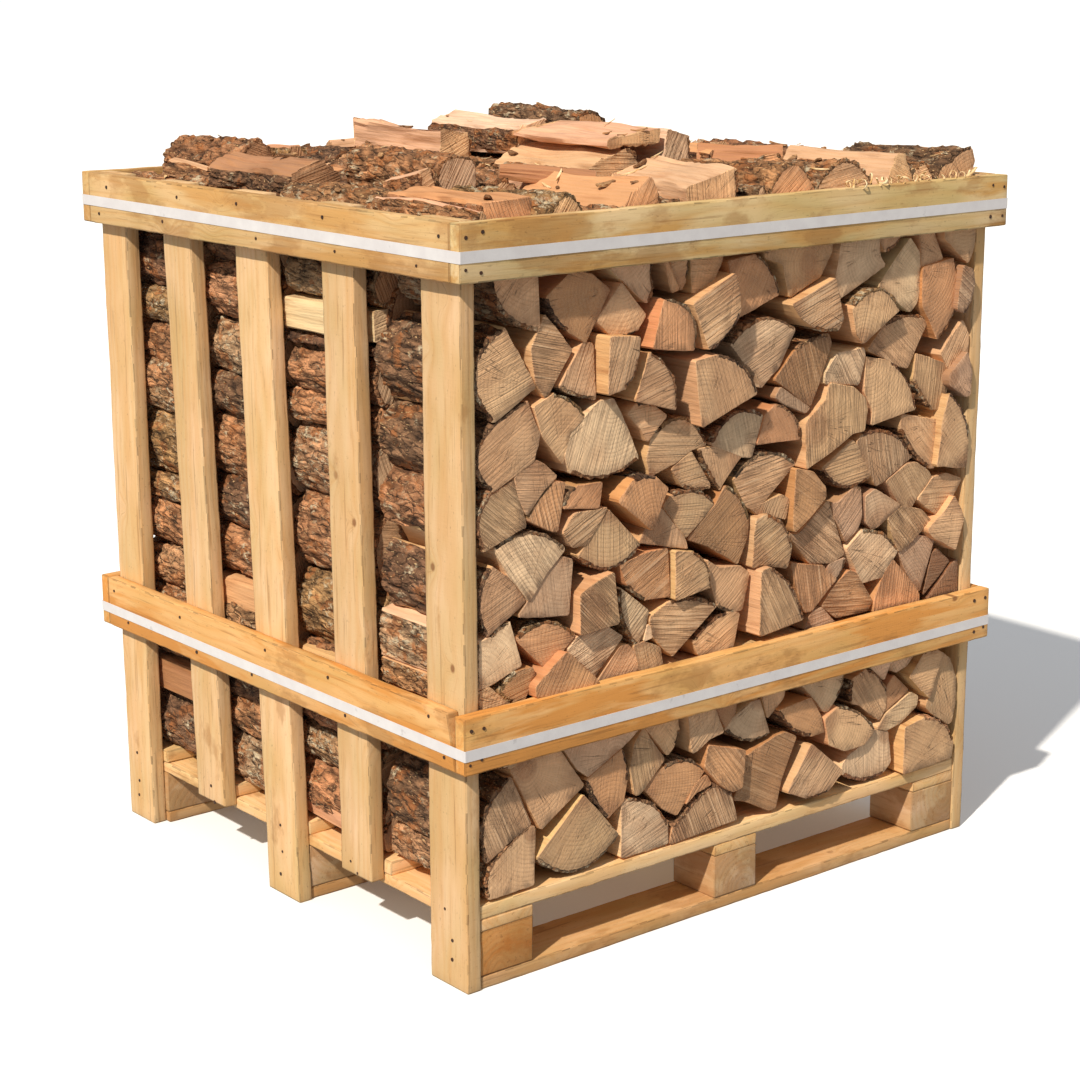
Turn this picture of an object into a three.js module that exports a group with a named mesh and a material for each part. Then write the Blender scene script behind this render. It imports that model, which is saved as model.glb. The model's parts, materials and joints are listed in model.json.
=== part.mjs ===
// A slatted timber crate on a pallet, filled with four ranks of split firewood and tied by two straps.
// Millimetres, +Z up. The origin is at the bottom centre. The log ends face -Y and +Y, and the slatted
// walls face -X and +X.

import * as THREE from 'three';

const crate = new THREE.Group();

// Driving dimensions
const bandWidth = 1150; // over the board bands, along X
const bandDepth = 1072; // over the board bands, along Y
const crateTop = 1160; // top of the upper band and of the wall planks
const topBand = [1075, crateTop]; // heights of the upper band's lower and upper edge
const middleBand = [357, 445];
const sideBoardThickness = 20;
const endBoardThickness = 24; // the boards across the log ends
const plankThickness = 25;
const logLength = 250;
const gap = 0.3; // between pieces that touch

// Worked out from them
const bandHalfX = bandWidth / 2;
const bandHalfY = bandDepth / 2;
const endBoardInner = bandHalfY - endBoardThickness - gap;
const plankOuter = bandHalfX - sideBoardThickness - gap;
const plankInner = plankOuter - plankThickness;
const palletHalfX = plankInner - gap;
const palletHalfY = 508;

const palletWood = new THREE.MeshStandardMaterial({ color: 0xcfa468, roughness: 0.8, metalness: 0 });
const plankWood = new THREE.MeshStandardMaterial({ color: 0xe6c48c, roughness: 0.75, metalness: 0 });
const boardWood = new THREE.MeshStandardMaterial({ color: 0xdfb06c, roughness: 0.75, metalness: 0 });
const logWood = new THREE.MeshStandardMaterial({ color: 0xb98a62, roughness: 0.9, metalness: 0 });
const strapPlastic = new THREE.MeshStandardMaterial({ color: 0xc9c8d2, roughness: 0.45, metalness: 0 });

function addMesh(name, geometry, material) {
  const mesh = new THREE.Mesh(geometry, material);
  mesh.name = name;
  crate.add(mesh);
  return mesh;
}

function addBox(name, material, x, y, z) {
  const geometry = new THREE.BoxGeometry(x[1] - x[0], y[1] - y[0], z[1] - z[0]);
  const mesh = addMesh(name, geometry, material);
  mesh.position.set((x[0] + x[1]) / 2, (y[0] + y[1]) / 2, (z[0] + z[1]) / 2);
}

function centred(middle, width) {
  return [middle - width / 2, middle + width / 2];
}

// An outline drawn in the YZ plane, pushed out along +X from x
function extrudeAlongX(outline, x, thickness) {
  const shape = new THREE.Shape(outline.map(([y, z]) => new THREE.Vector2(y, z)));
  const geometry = new THREE.ExtrudeGeometry(shape, { depth: thickness, bevelEnabled: false });
  const turned = new THREE.Matrix4().makeBasis(
    new THREE.Vector3(0, 1, 0),
    new THREE.Vector3(0, 0, 1),
    new THREE.Vector3(1, 0, 0),
  );
  geometry.applyMatrix4(turned);
  geometry.translate(x, 0, 0);
  return geometry;
}

// Each entry of an outline is a corner and how far the edge after it bows outwards
function bowedShape(corners) {
  const shape = new THREE.Shape();
  shape.moveTo(corners[0][0], corners[0][1]);
  corners.forEach(([x, z, bow = 0], index) => {
    const [nextX, nextZ] = corners[(index + 1) % corners.length];
    const edge = Math.hypot(nextX - x, nextZ - z);
    const outX = (nextZ - z) / edge;
    const outZ = (x - nextX) / edge;
    const middleX = (x + nextX) / 2 + 2 * bow * outX;
    const middleZ = (z + nextZ) / 2 + 2 * bow * outZ;
    if (bow > 0) shape.quadraticCurveTo(middleX, middleZ, nextX, nextZ);
    else shape.lineTo(nextX, nextZ);
  });
  return shape;
}

// An outline drawn in the XZ plane, pushed out along Y with its middle at y = 0
function extrudeAlongY(shape, length) {
  const geometry = new THREE.ExtrudeGeometry(shape, {
    depth: length,
    bevelEnabled: false,
    curveSegments: 7,
  });
  geometry.rotateX(Math.PI / 2);
  geometry.translate(0, length / 2, 0);
  return geometry;
}

function pallet() {
  const rows = { front: -458, middle: 0, back: 458 }; // along Y
  const columns = { left: 103, middle: 94, right: 103 }; // widths of the blocks, along X
  const rowDepth = 100;
  const runner = [0, 20];
  const block = [runner[1] + gap, 93];
  const stringer = [block[1] + gap, 112];
  const deck = [stringer[1] + gap, 135];
  const deckBoards = 5;
  const across = {
    left: [-palletHalfX, -palletHalfX + columns.left],
    middle: centred(0, columns.middle),
    right: [palletHalfX - columns.right, palletHalfX],
  };

  for (const [row, y] of Object.entries(rows)) {
    const depth = centred(y, rowDepth);
    addBox(`pallet_runner_${row}`, palletWood, [-palletHalfX, palletHalfX], depth, runner);
    for (const [column, x] of Object.entries(across)) {
      addBox(`pallet_block_${row}_${column}`, palletWood, x, depth, block);
    }
  }
  for (const [column, x] of Object.entries(across)) {
    addBox(`pallet_stringer_${column}`, palletWood, x, [-palletHalfY, palletHalfY], stringer);
  }
  const pitch = (2 * palletHalfY - rowDepth) / (deckBoards - 1);
  for (let i = 0; i < deckBoards; i++) {
    const y = centred(-palletHalfY + rowDepth / 2 + i * pitch, rowDepth);
    addBox(`pallet_deck_board_${i + 1}`, palletWood, [-palletHalfX, palletHalfX], y, deck);
  }
  return deck[1];
}

// Five upright planks a side. The corner and middle ones stand on the ground, and the two between
// them stop at the pallet's stringers. They lean a little, as they were nailed.
function wallPlanks() {
  const shortFoot = 102;
  const walls = {
    left: [
      { place: 'front', foot: 0, frontAtFoot: -511, frontAtTop: -508, width: 93 },
      { place: 'second', foot: shortFoot, frontAtFoot: -264, frontAtTop: -246, width: 84 },
      { place: 'middle', foot: 0, frontAtFoot: -54, frontAtTop: -9, width: 93 },
      { place: 'fourth', foot: shortFoot, frontAtFoot: 174, frontAtTop: 221, width: 86 },
      { place: 'back', foot: 0, frontAtFoot: 419, frontAtTop: 426, width: 84 },
    ],
    right: [
      { place: 'front', foot: 0, frontAtFoot: -511, frontAtTop: -509, width: 93 },
      { place: 'second', foot: shortFoot, frontAtFoot: -262, frontAtTop: -252, width: 86 },
      { place: 'middle', foot: 0, frontAtFoot: -52, frontAtTop: -38, width: 92 },
      { place: 'fourth', foot: shortFoot, frontAtFoot: 178, frontAtTop: 190, width: 85 },
      { place: 'back', foot: 0, frontAtFoot: 421, frontAtTop: 425, width: 85 },
    ],
  };
  for (const [side, planks] of Object.entries(walls)) {
    const x = side === 'left' ? -plankOuter : plankInner;
    for (const { place, foot, frontAtFoot, frontAtTop, width } of planks) {
      const outline = [
        [frontAtFoot, foot],
        [frontAtFoot + width, foot],
        [frontAtTop + width, crateTop],
        [frontAtTop, crateTop],
      ];
      const geometry = extrudeAlongX(outline, x, plankThickness);
      addMesh(`wall_plank_${side}_${place}`, geometry, plankWood);
    }
  }
}

// Two frames of four boards nailed round the planks. The boards over the log ends run the full width
// and the side boards fit between them.
function bandBoards() {
  const skewCut = 18; // one board of the middle band was cut out of square
  const bands = { top: topBand, middle: middleBand };
  for (const [band, height] of Object.entries(bands)) {
    const width = [-bandHalfX, bandHalfX];
    const inner = bandHalfY - endBoardThickness;
    addBox(`${band}_board_front`, boardWood, width, [-bandHalfY, -inner], height);
    addBox(`${band}_board_back`, boardWood, width, [inner, bandHalfY], height);

    const cut = band === 'middle' ? skewCut : 0;
    const outline = [
      [-endBoardInner, height[0]],
      [endBoardInner, height[0]],
      [endBoardInner, height[1]],
      [-endBoardInner + cut, height[1]],
    ];
    const left = extrudeAlongX(outline, -bandHalfX, sideBoardThickness);
    addMesh(`${band}_board_left`, left, boardWood);
    const sideX = [bandHalfX - sideBoardThickness, bandHalfX];
    addBox(`${band}_board_right`, boardWood, sideX, [-endBoardInner, endBoardInner], height);
  }
}

// A flat strap pulled tight round each band. Its ends are welded in a short lap at the back.
function straps() {
  const thickness = 0.7;
  const lap = { start: 180, end: 250, thickness: 0.7 };
  const width = 17;
  const lowerEdge = { top: 1104, middle: 380 };
  const innerX = bandHalfX + gap;
  const innerY = bandHalfY + gap;
  const x = innerX + thickness;
  const y = innerY + thickness;
  const cornerRadius = 2;

  for (const [band, height] of Object.entries(lowerEdge)) {
    const outline = new THREE.Shape();
    outline.moveTo(-x + cornerRadius, -y);
    outline.lineTo(x - cornerRadius, -y);
    outline.absarc(x - cornerRadius, -y + cornerRadius, cornerRadius, -Math.PI / 2, 0);
    outline.absarc(x - cornerRadius, y - cornerRadius, cornerRadius, 0, Math.PI / 2);
    outline.lineTo(lap.end, y);
    outline.lineTo(lap.end, y + lap.thickness);
    outline.lineTo(lap.start, y + lap.thickness);
    outline.lineTo(lap.start, y);
    outline.absarc(-x + cornerRadius, y - cornerRadius, cornerRadius, Math.PI / 2, Math.PI);
    outline.absarc(-x + cornerRadius, -y + cornerRadius, cornerRadius, Math.PI, 1.5 * Math.PI);
    const inside = new THREE.Path([
      new THREE.Vector2(-innerX, -innerY),
      new THREE.Vector2(-innerX, innerY),
      new THREE.Vector2(innerX, innerY),
      new THREE.Vector2(innerX, -innerY),
    ]);
    outline.holes.push(inside);
    const settings = { depth: width, bevelEnabled: false, curveSegments: 4 };
    const strap = addMesh(`${band}_strap`, new THREE.ExtrudeGeometry(outline, settings), strapPlastic);
    strap.position.z = height;
  }
}

// The stacked logs of one rank stand as one solid, with the steps that the loose top logs sit in
function logRanks(floor) {
  const halfWidth = plankInner - 4;
  const rankGap = 4;
  const frontOfRanks = -(4 * logLength + 3 * rankGap) / 2;
  const topLines = [
    [[-halfWidth, 1118], [-408, 1118], [-398, 1180], [-352, 1188], [-318, 1160], [-300, 1118],
     [-170, 1118], [-166, 1168], [-150, 1180], [-130, 1160],
     [-126, 1118], [52, 1118], [56, 1176], [90, 1200], [132, 1190], [144, 1160], [146, 1118],
     [392, 1118], [394, 1164], [408, 1172], [426, 1160], [428, 1118], [halfWidth, 1118]],
    [[-halfWidth, 1172], [-470, 1192], [-404, 1170], [-402, 1150], [-320, 1150], [-316, 1184],
     [-220, 1200], [-122, 1186], [-112, 1150], [114, 1150], [118, 1194], [230, 1204], [312, 1190],
     [316, 1150], [422, 1150], [426, 1190], [480, 1200], [halfWidth, 1176]],
    [[-halfWidth, 1160], [-504, 1160], [-502, 1150], [-396, 1150], [-392, 1176], [-300, 1190],
     [-212, 1195], [160, 1195], [220, 1206], [340, 1198], [450, 1184], [halfWidth, 1164]],
    [[-halfWidth, 1178], [-480, 1200], [-438, 1180], [-436, 1150], [-362, 1150], [-358, 1186],
     [-260, 1196], [-120, 1206], [60, 1212], [240, 1202], [400, 1188], [halfWidth, 1164]],
  ];
  return topLines.map((topLine, i) => {
    const corners = [[-halfWidth, floor + gap], [halfWidth, floor + gap], ...topLine.toReversed()];
    const rank = addMesh(`log_rank_${i + 1}`, extrudeAlongY(bowedShape(corners), logLength), logWood);
    rank.position.y = frontOfRanks + logLength / 2 + i * (logLength + rankGap);
    return rank.position.y;
  });
}

// The loose logs that stick up out of the crate. A section starts at its lower left corner.
function topLogs(rankMiddles) {
  const logs = [
    { rank: 0, x: -460, base: 1118, yaw: -3, section: [[-42, 0], [36, 0], [42, 66], [-44, 62, 3]] },
    { rank: 0, x: -236, base: 1118, section: [[-56, 0], [54, 0, 5], [52, 60], [36, 79]] },
    { rank: 0, x: -45, base: 1118, yaw: -12, length: 236,
      section: [[-40, 0], [42, 0, 6], [46, 84], [-42, 60]] },
    { rank: 0, x: 214, base: 1118, section: [[-60, 0], [60, 0, 4], [66, 36, 23], [-64, 36, 4]] },
    { rank: 0, x: 334, base: 1118, section: [[-50, 0], [46, 0, 8], [20, 80], [0, 82, 2]] },
    { rank: 0, x: 476, base: 1118, section: [[-44, 0], [46, 0], [44, 44, 4], [12, 78], [-12, 76]] },
    { rank: 1, x: -361, base: 1150, section: [[-30, 0], [30, 0, 4], [36, 40, 12], [-36, 70, 5]] },
    { rank: 1, x: -44, base: 1150, section: [[-48, 0], [48, 0], [50, 50, 18], [-50, 50, 12]] },
    { rank: 1, x: -6, base: 1222, section: [[-52, 0], [52, 0], [54, 24], [-54, 10]] },
    { rank: 1, x: 84, base: 1150, section: [[-24, 0], [26, 0, 3], [26, 78], [-20, 90]] },
    { rank: 1, x: 368, base: 1150, section: [[-44, 0], [46, 0, 4], [48, 26, 20], [-46, 26, 3]] },
    { rank: 2, x: -449, base: 1150, section: [[-48, 0], [46, 0], [48, 26], [10, 54], [-48, 34, 3]] },
    { rank: 2, x: -177, base: 1195, section: [[-28, 0], [30, 0, 5], [28, 40], [-30, 52]] },
    { rank: 2, x: -8, base: 1195, section: [[-38, 0], [36, 0, 6], [22, 56], [-30, 38]] },
    { rank: 2, x: 113, base: 1195, section: [[-38, 0], [38, 0, 8], [26, 58, 5], [-22, 60, 7]] },
    { rank: 3, x: -399, base: 1150, section: [[-32, 0], [30, 0, 3], [32, 66], [-26, 68, 2]] },
  ];
  logs.forEach(({ rank, x, base, yaw = 0, length = logLength, section }, i) => {
    const name = `top_log_${String(i + 1).padStart(2, '0')}`;
    const log = addMesh(name, extrudeAlongY(bowedShape(section), length), logWood);
    log.position.set(x, rankMiddles[rank], base + gap);
    log.rotation.z = THREE.MathUtils.degToRad(yaw);
  });
}

const floor = pallet();
wallPlanks();
bandBoards();
straps();
topLogs(logRanks(floor));

export default crate;
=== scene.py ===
# A slatted timber crate on a pallet, full of split firewood in four ranks, with two straps round it.
# Metres, +Z up, front at -Y. Log outlines are in millimetres and are scaled where they are used.

import json
import math
import random

import bmesh
import bpy
from mathutils import Matrix, Vector, noise
from mathutils.bvhtree import BVHTree

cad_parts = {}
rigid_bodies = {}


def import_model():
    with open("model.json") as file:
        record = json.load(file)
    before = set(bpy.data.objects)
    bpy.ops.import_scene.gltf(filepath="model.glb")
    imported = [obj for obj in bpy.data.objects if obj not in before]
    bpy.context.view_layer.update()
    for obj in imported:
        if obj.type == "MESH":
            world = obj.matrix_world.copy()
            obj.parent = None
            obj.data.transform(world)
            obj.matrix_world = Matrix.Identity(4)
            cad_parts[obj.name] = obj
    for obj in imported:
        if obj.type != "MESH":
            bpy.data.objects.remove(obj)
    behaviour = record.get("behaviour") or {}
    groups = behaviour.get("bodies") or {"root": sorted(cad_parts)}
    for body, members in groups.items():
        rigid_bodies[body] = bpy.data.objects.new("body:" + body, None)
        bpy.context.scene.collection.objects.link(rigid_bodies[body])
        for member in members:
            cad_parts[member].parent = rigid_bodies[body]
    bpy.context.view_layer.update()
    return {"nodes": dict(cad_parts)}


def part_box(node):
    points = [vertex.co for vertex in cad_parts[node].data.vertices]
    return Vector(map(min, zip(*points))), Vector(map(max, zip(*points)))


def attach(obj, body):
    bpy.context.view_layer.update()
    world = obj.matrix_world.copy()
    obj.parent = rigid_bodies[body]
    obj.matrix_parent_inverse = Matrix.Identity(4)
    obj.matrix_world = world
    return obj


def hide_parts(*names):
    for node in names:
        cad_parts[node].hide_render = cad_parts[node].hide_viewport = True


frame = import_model()
mm = 0.001
fullTurn = 6.28


def srgb(red, green, blue):
    def channel(value):
        value /= 255
        return value / 12.92 if value <= 0.04045 else ((value + 0.055) / 1.055) ** 2.4

    return channel(red), channel(green), channel(blue)


# Camera: eye level a little above the rim, looking at the near corner

cameraSettings = {
    "target": (-0.039, -0.049, 0.535),
    "distance": 4.06,
    "azimuth": -39.06,
    "elevation": 13.97,
    "roll": -0.14,
    "lens": 78.2,
}


def addCamera(values):
    data = bpy.data.cameras.new("camera")
    data.lens = values["lens"]
    data.clip_end = 100
    camera = bpy.data.objects.new("camera", data)
    bpy.context.collection.objects.link(camera)
    turn = (
        Matrix.Rotation(math.radians(values["azimuth"]), 4, "Z")
        @ Matrix.Rotation(math.radians(90 - values["elevation"]), 4, "X")
        @ Matrix.Rotation(math.radians(values["roll"]), 4, "Z")
    )
    back = turn @ Vector((0, 0, values["distance"]))
    camera.matrix_world = Matrix.Translation(Vector(values["target"]) + back) @ turn
    bpy.context.scene.camera = camera


addCamera(cameraSettings)
bpy.context.scene.view_settings.view_transform = "Standard"


# Shader nodes

def fillInputs(tree, made, inputs):
    for name, value in inputs.items():
        if isinstance(value, bpy.types.NodeSocket):
            tree.links.new(value, made.inputs[name])
        else:
            made.inputs[name].default_value = value


def addNode(tree, kind, inputs=None, **settings):
    made = tree.nodes.new(kind)
    for name, value in settings.items():
        setattr(made, name, value)
    fillInputs(tree, made, inputs or {})
    return made


def calc(tree, operation, first, second=0.0, third=0.0):
    inputs = {0: first, 1: second, 2: third}
    return addNode(tree, "ShaderNodeMath", inputs, operation=operation).outputs[0]


def plus(tree, first, second):
    return calc(tree, "ADD", first, second)


def minus(tree, first, second):
    return calc(tree, "SUBTRACT", first, second)


def times(tree, first, second):
    return calc(tree, "MULTIPLY", first, second)


def joined(tree, x, y, z=0.0):
    return addNode(tree, "ShaderNodeCombineXYZ", {0: x, 1: y, 2: z}).outputs[0]


def parted(tree, vector):
    return addNode(tree, "ShaderNodeSeparateXYZ", {0: vector}).outputs


def mapRange(tree, value, low, high, toLow=0.0, toHigh=1.0):
    inputs = {0: value, 1: low, 2: high, 3: toLow, 4: toHigh}
    return addNode(tree, "ShaderNodeMapRange", inputs).outputs[0]


def blend(tree, factor, first, second):
    made = addNode(tree, "ShaderNodeMix", data_type="RGBA")
    for socket, value in zip((made.inputs[0], made.inputs[6], made.inputs[7]), (factor, first, second)):
        if isinstance(value, bpy.types.NodeSocket):
            tree.links.new(value, socket)
        elif isinstance(value, (int, float)):
            socket.default_value = value
        else:
            socket.default_value = (*value, 1)
    return made.outputs[2]


def noiseAt(tree, vector, scale, detail=3.0, roughness=0.55, seed=None, distortion=0.0):
    inputs = {"Vector": vector, "Scale": scale, "Detail": detail, "Roughness": roughness}
    inputs["Distortion"] = distortion
    if seed is not None:
        inputs["W"] = seed
    dimensions = "3D" if seed is None else "4D"
    return addNode(tree, "ShaderNodeTexNoise", inputs, noise_dimensions=dimensions).outputs[0]


def warped(tree, vector, scale, amount):
    inputs = {"Vector": vector, "Scale": scale, "Detail": 3.0}
    cloud = addNode(tree, "ShaderNodeTexNoise", inputs).outputs["Color"]
    inputs = {0: cloud, 1: (amount, amount, amount), 2: vector}
    return addNode(tree, "ShaderNodeVectorMath", inputs, operation="MULTIPLY_ADD").outputs[0]


def scaled(tree, vector, by):
    inputs = {0: vector, 1: by}
    return addNode(tree, "ShaderNodeVectorMath", inputs, operation="MULTIPLY").outputs[0]


def shaded(tree, colour, shade):
    return scaled(tree, colour, joined(tree, shade, shade, shade))


def startGroup(name, inputs, outputs):
    tree = bpy.data.node_groups.new(name, "ShaderNodeTree")
    for label, kind, value in inputs:
        socket = tree.interface.new_socket(label, in_out="INPUT", socket_type=kind)
        if value is not None:
            socket.default_value = value
    for label, kind in outputs:
        tree.interface.new_socket(label, in_out="OUTPUT", socket_type=kind)
    return tree, tree.nodes.new("NodeGroupInput").outputs, tree.nodes.new("NodeGroupOutput").inputs


def useGroup(tree, group, inputs):
    made = addNode(tree, "ShaderNodeGroup", node_tree=group)
    fillInputs(tree, made, inputs)
    return made.outputs


# Growth rings round the pith and fibres along the grain. Grain x runs along the wood, y and z across it.
def buildWoodGroup():
    tree, given, result = startGroup(
        "wood figure",
        [
            ("Grain", "NodeSocketVector", None),
            ("Seed", "NodeSocketFloat", 0.0),
            ("Ring Width", "NodeSocketFloat", 0.004),
            ("Wander", "NodeSocketFloat", 0.01),
        ],
        [("Rings", "NodeSocketFloat"), ("Fibre", "NodeSocketFloat"), ("Radius", "NodeSocketFloat"),
         ("Cloud", "NodeSocketFloat")],
    )
    link = tree.links.new
    seed = times(tree, given["Seed"], 37.0)
    slow = scaled(tree, given["Grain"], (0.22, 1, 1))
    drift = noiseAt(tree, slow, 11.0, 3.0, 0.5, seed)
    parts = parted(tree, given["Grain"])
    radius = calc(tree, "SQRT", plus(tree, times(tree, parts[1], parts[1]),
                                     times(tree, parts[2], parts[2])))
    moved = plus(tree, radius, times(tree, minus(tree, drift, 0.5), given["Wander"]))
    turn = calc(tree, "DIVIDE", moved, given["Ring Width"])
    wave = calc(tree, "SINE", times(tree, turn, 2 * math.pi))
    late = calc(tree, "POWER", calc(tree, "MULTIPLY_ADD", wave, 0.5, 0.5), 2.2)
    yearSize = times(tree, turn, 0.37)
    yearInputs = {"W": yearSize, "Scale": 1.0}
    year = addNode(tree, "ShaderNodeTexNoise", yearInputs, noise_dimensions="1D").outputs[0]
    link(times(tree, late, calc(tree, "MULTIPLY_ADD", year, 1.2, 0.2)), result["Rings"])
    fine = scaled(tree, given["Grain"], (0.05, 1, 1))
    link(noiseAt(tree, fine, 420.0, 4.0, 0.65, seed), result["Fibre"])
    link(moved, result["Radius"])
    link(noiseAt(tree, scaled(tree, given["Grain"], (0.4, 1, 1)), 16.0, 2.0, 0.5, seed), result["Cloud"])
    return tree


# Worn, dirty patches: a soft mask of stains and a finer one of specks
def buildDirtGroup():
    tree, given, result = startGroup(
        "dirt",
        [("Place", "NodeSocketVector", None), ("Stain Scale", "NodeSocketFloat", 7.0),
         ("Amount", "NodeSocketFloat", 0.5)],
        [("Stain", "NodeSocketFloat"), ("Specks", "NodeSocketFloat")],
    )
    link = tree.links.new
    patch = noiseAt(tree, given["Place"], given["Stain Scale"], 5.0, 0.62)
    edge = minus(tree, 0.86, times(tree, given["Amount"], 0.4))
    link(mapRange(tree, patch, minus(tree, edge, 0.07), edge), result["Stain"])
    speck = noiseAt(tree, given["Place"], 260.0, 2.0, 0.5)
    link(mapRange(tree, speck, 0.66, 0.74), result["Specks"])
    return tree


def startMaterial(name, roughness):
    material = bpy.data.materials.new(name)
    material.use_nodes = True
    tree = material.node_tree
    shader = tree.nodes["Principled BSDF"]
    shader.inputs["Roughness"].default_value = roughness
    shader.inputs["Specular IOR Level"].default_value = 0.25
    return material, tree, shader


def attribute(tree, name, output="Vector"):
    read = addNode(tree, "ShaderNodeAttribute", attribute_name=name, attribute_type="GEOMETRY")
    return read.outputs[output]


def addBump(tree, shader, height, distance, strength=1.0):
    bump = addNode(tree, "ShaderNodeBump", {"Height": height, "Distance": distance, "Strength": strength})
    tree.links.new(bump.outputs[0], shader.inputs["Normal"])


woodFigure = buildWoodGroup()
dirtMask = buildDirtGroup()


# Sawn end of a log: rings, a darker heart, drying cracks and the saw's slanting lines.
# The traits attribute holds the log's seed, how rough the saw cut is and which way it ran.
def sawnEndMaterial():
    values = {"ringWidth": 0.0065, "wander": 0.02, "heart": srgb(150, 92, 54), "crack": srgb(56, 34, 22)}
    material, tree, shader = startMaterial("sawn log end", 0.85)
    link = tree.links.new
    grain = attribute(tree, "grain")
    traits = parted(tree, attribute(tree, "traits"))
    wood = useGroup(tree, woodFigure, {"Grain": grain, "Seed": traits[0], "Ring Width": values["ringWidth"],
                                       "Wander": values["wander"]})
    parts = parted(tree, grain)
    seed = times(tree, traits[0], 91.0)

    base = attribute(tree, "tint")
    shade = mapRange(tree, wood["Cloud"], 0.3, 0.7, 0.88, 1.42)
    colour = shaded(tree, base, shade)
    heartEdge = calc(tree, "MULTIPLY_ADD", calc(tree, "FRACT", times(tree, traits[0], 7.3)), 0.05, 0.0)
    heart = mapRange(tree, wood["Radius"], times(tree, heartEdge, 0.55), heartEdge, 0.5, 0.0)
    colour = blend(tree, heart, colour, values["heart"])
    patchy = mapRange(tree, noiseAt(tree, grain, 30.0, 2.0, 0.5, seed), 0.4, 0.65, 0.05, 0.3)
    colour = blend(tree, times(tree, wood["Rings"], patchy), colour, srgb(136, 84, 48))
    pink = mapRange(tree, noiseAt(tree, grain, 13.0, 2.0, 0.5, seed), 0.42, 0.64, 0.0, 0.36)
    colour = blend(tree, pink, colour, srgb(204, 142, 94))

    # Saw lines run straight across the section, a few millimetres apart
    cosine = calc(tree, "COSINE", traits[2])
    sine = calc(tree, "SINE", traits[2])
    across = plus(tree, times(tree, parts[1], cosine), times(tree, parts[2], sine))
    along = minus(tree, times(tree, parts[2], cosine), times(tree, parts[1], sine))
    sawPlace = joined(tree, times(tree, across, 40.0), times(tree, along, 1.1), seed)
    saw = noiseAt(tree, sawPlace, 6.5, 2.0, 0.6)
    groove = mapRange(tree, saw, 0.40, 0.56)
    sawPatch = mapRange(tree, noiseAt(tree, grain, 22.0, 2.0, 0.5, seed), 0.38, 0.6, 0.05, 1.0)
    sawDark = times(tree, minus(tree, 1.0, groove), times(tree, traits[1], sawPatch))
    colour = blend(tree, times(tree, sawDark, 0.5), colour, srgb(100, 58, 34))
    sawLight = times(tree, mapRange(tree, saw, 0.58, 0.66), times(tree, traits[1], 0.4))
    colour = blend(tree, sawLight, colour, srgb(240, 208, 168))

    # Fine rays and drying cracks fan out from the pith
    angle = calc(tree, "ARCTAN2", parts[2], parts[1])
    rayPlace = joined(tree, times(tree, angle, 5.0), times(tree, wood["Radius"], 2.5), seed)
    fineRays = noiseAt(tree, rayPlace, 12.0, 2.0, 0.6)
    colour = blend(tree, mapRange(tree, fineRays, 0.42, 0.62, 0.18, 0.0), colour, srgb(120, 76, 48))
    ray = noiseAt(tree, rayPlace, 2.6, 1.0, 0.4)
    line = mapRange(tree, calc(tree, "ABSOLUTE", minus(tree, ray, 0.5)), 0.0, 0.010, 1.0, 0.0)
    cracked = times(tree, line, mapRange(tree, noiseAt(tree, grain, 26.0, 1.0, 0.5, seed), 0.5, 0.6))
    colour = blend(tree, times(tree, cracked, 0.7), colour, values["crack"])
    # Painted shade and grime: the end darkens towards its outline, most at the outermost ring, which relief
    # marks at -0.5
    relief = attribute(tree, "relief", "Fac")
    rimGrimeAndShade = mapRange(tree, noiseAt(tree, grain, 55.0, 3.0, 0.6, seed), 0.35, 0.6, 0.1, 1.0)
    rimGrimeAndShade = times(tree, rimGrimeAndShade, mapRange(tree, relief, -0.5, 0.0, 0.45, 0.0))
    colour = blend(tree, rimGrimeAndShade, colour, srgb(104, 64, 38))
    fuzz = noiseAt(tree, grain, 700.0, 2.0, 0.6)
    colour = blend(tree, mapRange(tree, fuzz, 0.35, 0.7, 0.0, 0.2), colour, srgb(244, 216, 184))
    link(colour, shader.inputs["Base Color"])

    height = plus(tree, times(tree, times(tree, groove, traits[1]), 1.3),
                  times(tree, fuzz, 0.25))
    height = minus(tree, height, times(tree, cracked, 0.9))
    height = minus(tree, height, times(tree, wood["Rings"], 0.12))
    addBump(tree, shader, height, 0.0022)
    return material


# Face where the axe split the log: long torn fibres, pale sapwood and warmer streaks
def splitFaceMaterial():
    values = {"ringWidth": 0.007, "wander": 0.03, "streak": srgb(150, 90, 48)}
    material, tree, shader = startMaterial("split face", 0.8)
    grain = attribute(tree, "grain")
    traits = parted(tree, attribute(tree, "traits"))
    wood = useGroup(tree, woodFigure, {"Grain": grain, "Seed": traits[0], "Ring Width": values["ringWidth"],
                                       "Wander": values["wander"]})
    seed = times(tree, traits[0], 53.0)
    base = attribute(tree, "tint")
    shade = mapRange(tree, wood["Cloud"], 0.25, 0.75, 0.84, 1.12)
    colour = shaded(tree, base, shade)
    streak = noiseAt(tree, scaled(tree, grain, (0.12, 1, 1)), 60.0, 3.0, 0.55, seed)
    colour = blend(tree, mapRange(tree, streak, 0.52, 0.72, 0.0, 0.55), colour, values["streak"])
    colour = blend(tree, times(tree, wood["Rings"], 0.22), colour, srgb(190, 134, 76))
    colour = blend(tree, mapRange(tree, wood["Fibre"], 0.42, 0.3, 0.0, 0.35), colour, srgb(140, 92, 52))
    tree.links.new(colour, shader.inputs["Base Color"])
    torn = noiseAt(tree, scaled(tree, grain, (0.09, 1, 1)), 130.0, 5.0, 0.6, seed)
    height = plus(tree, times(tree, torn, 1.6), times(tree, wood["Fibre"], 0.5))
    addBump(tree, shader, height, 0.0016)
    return material
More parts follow.
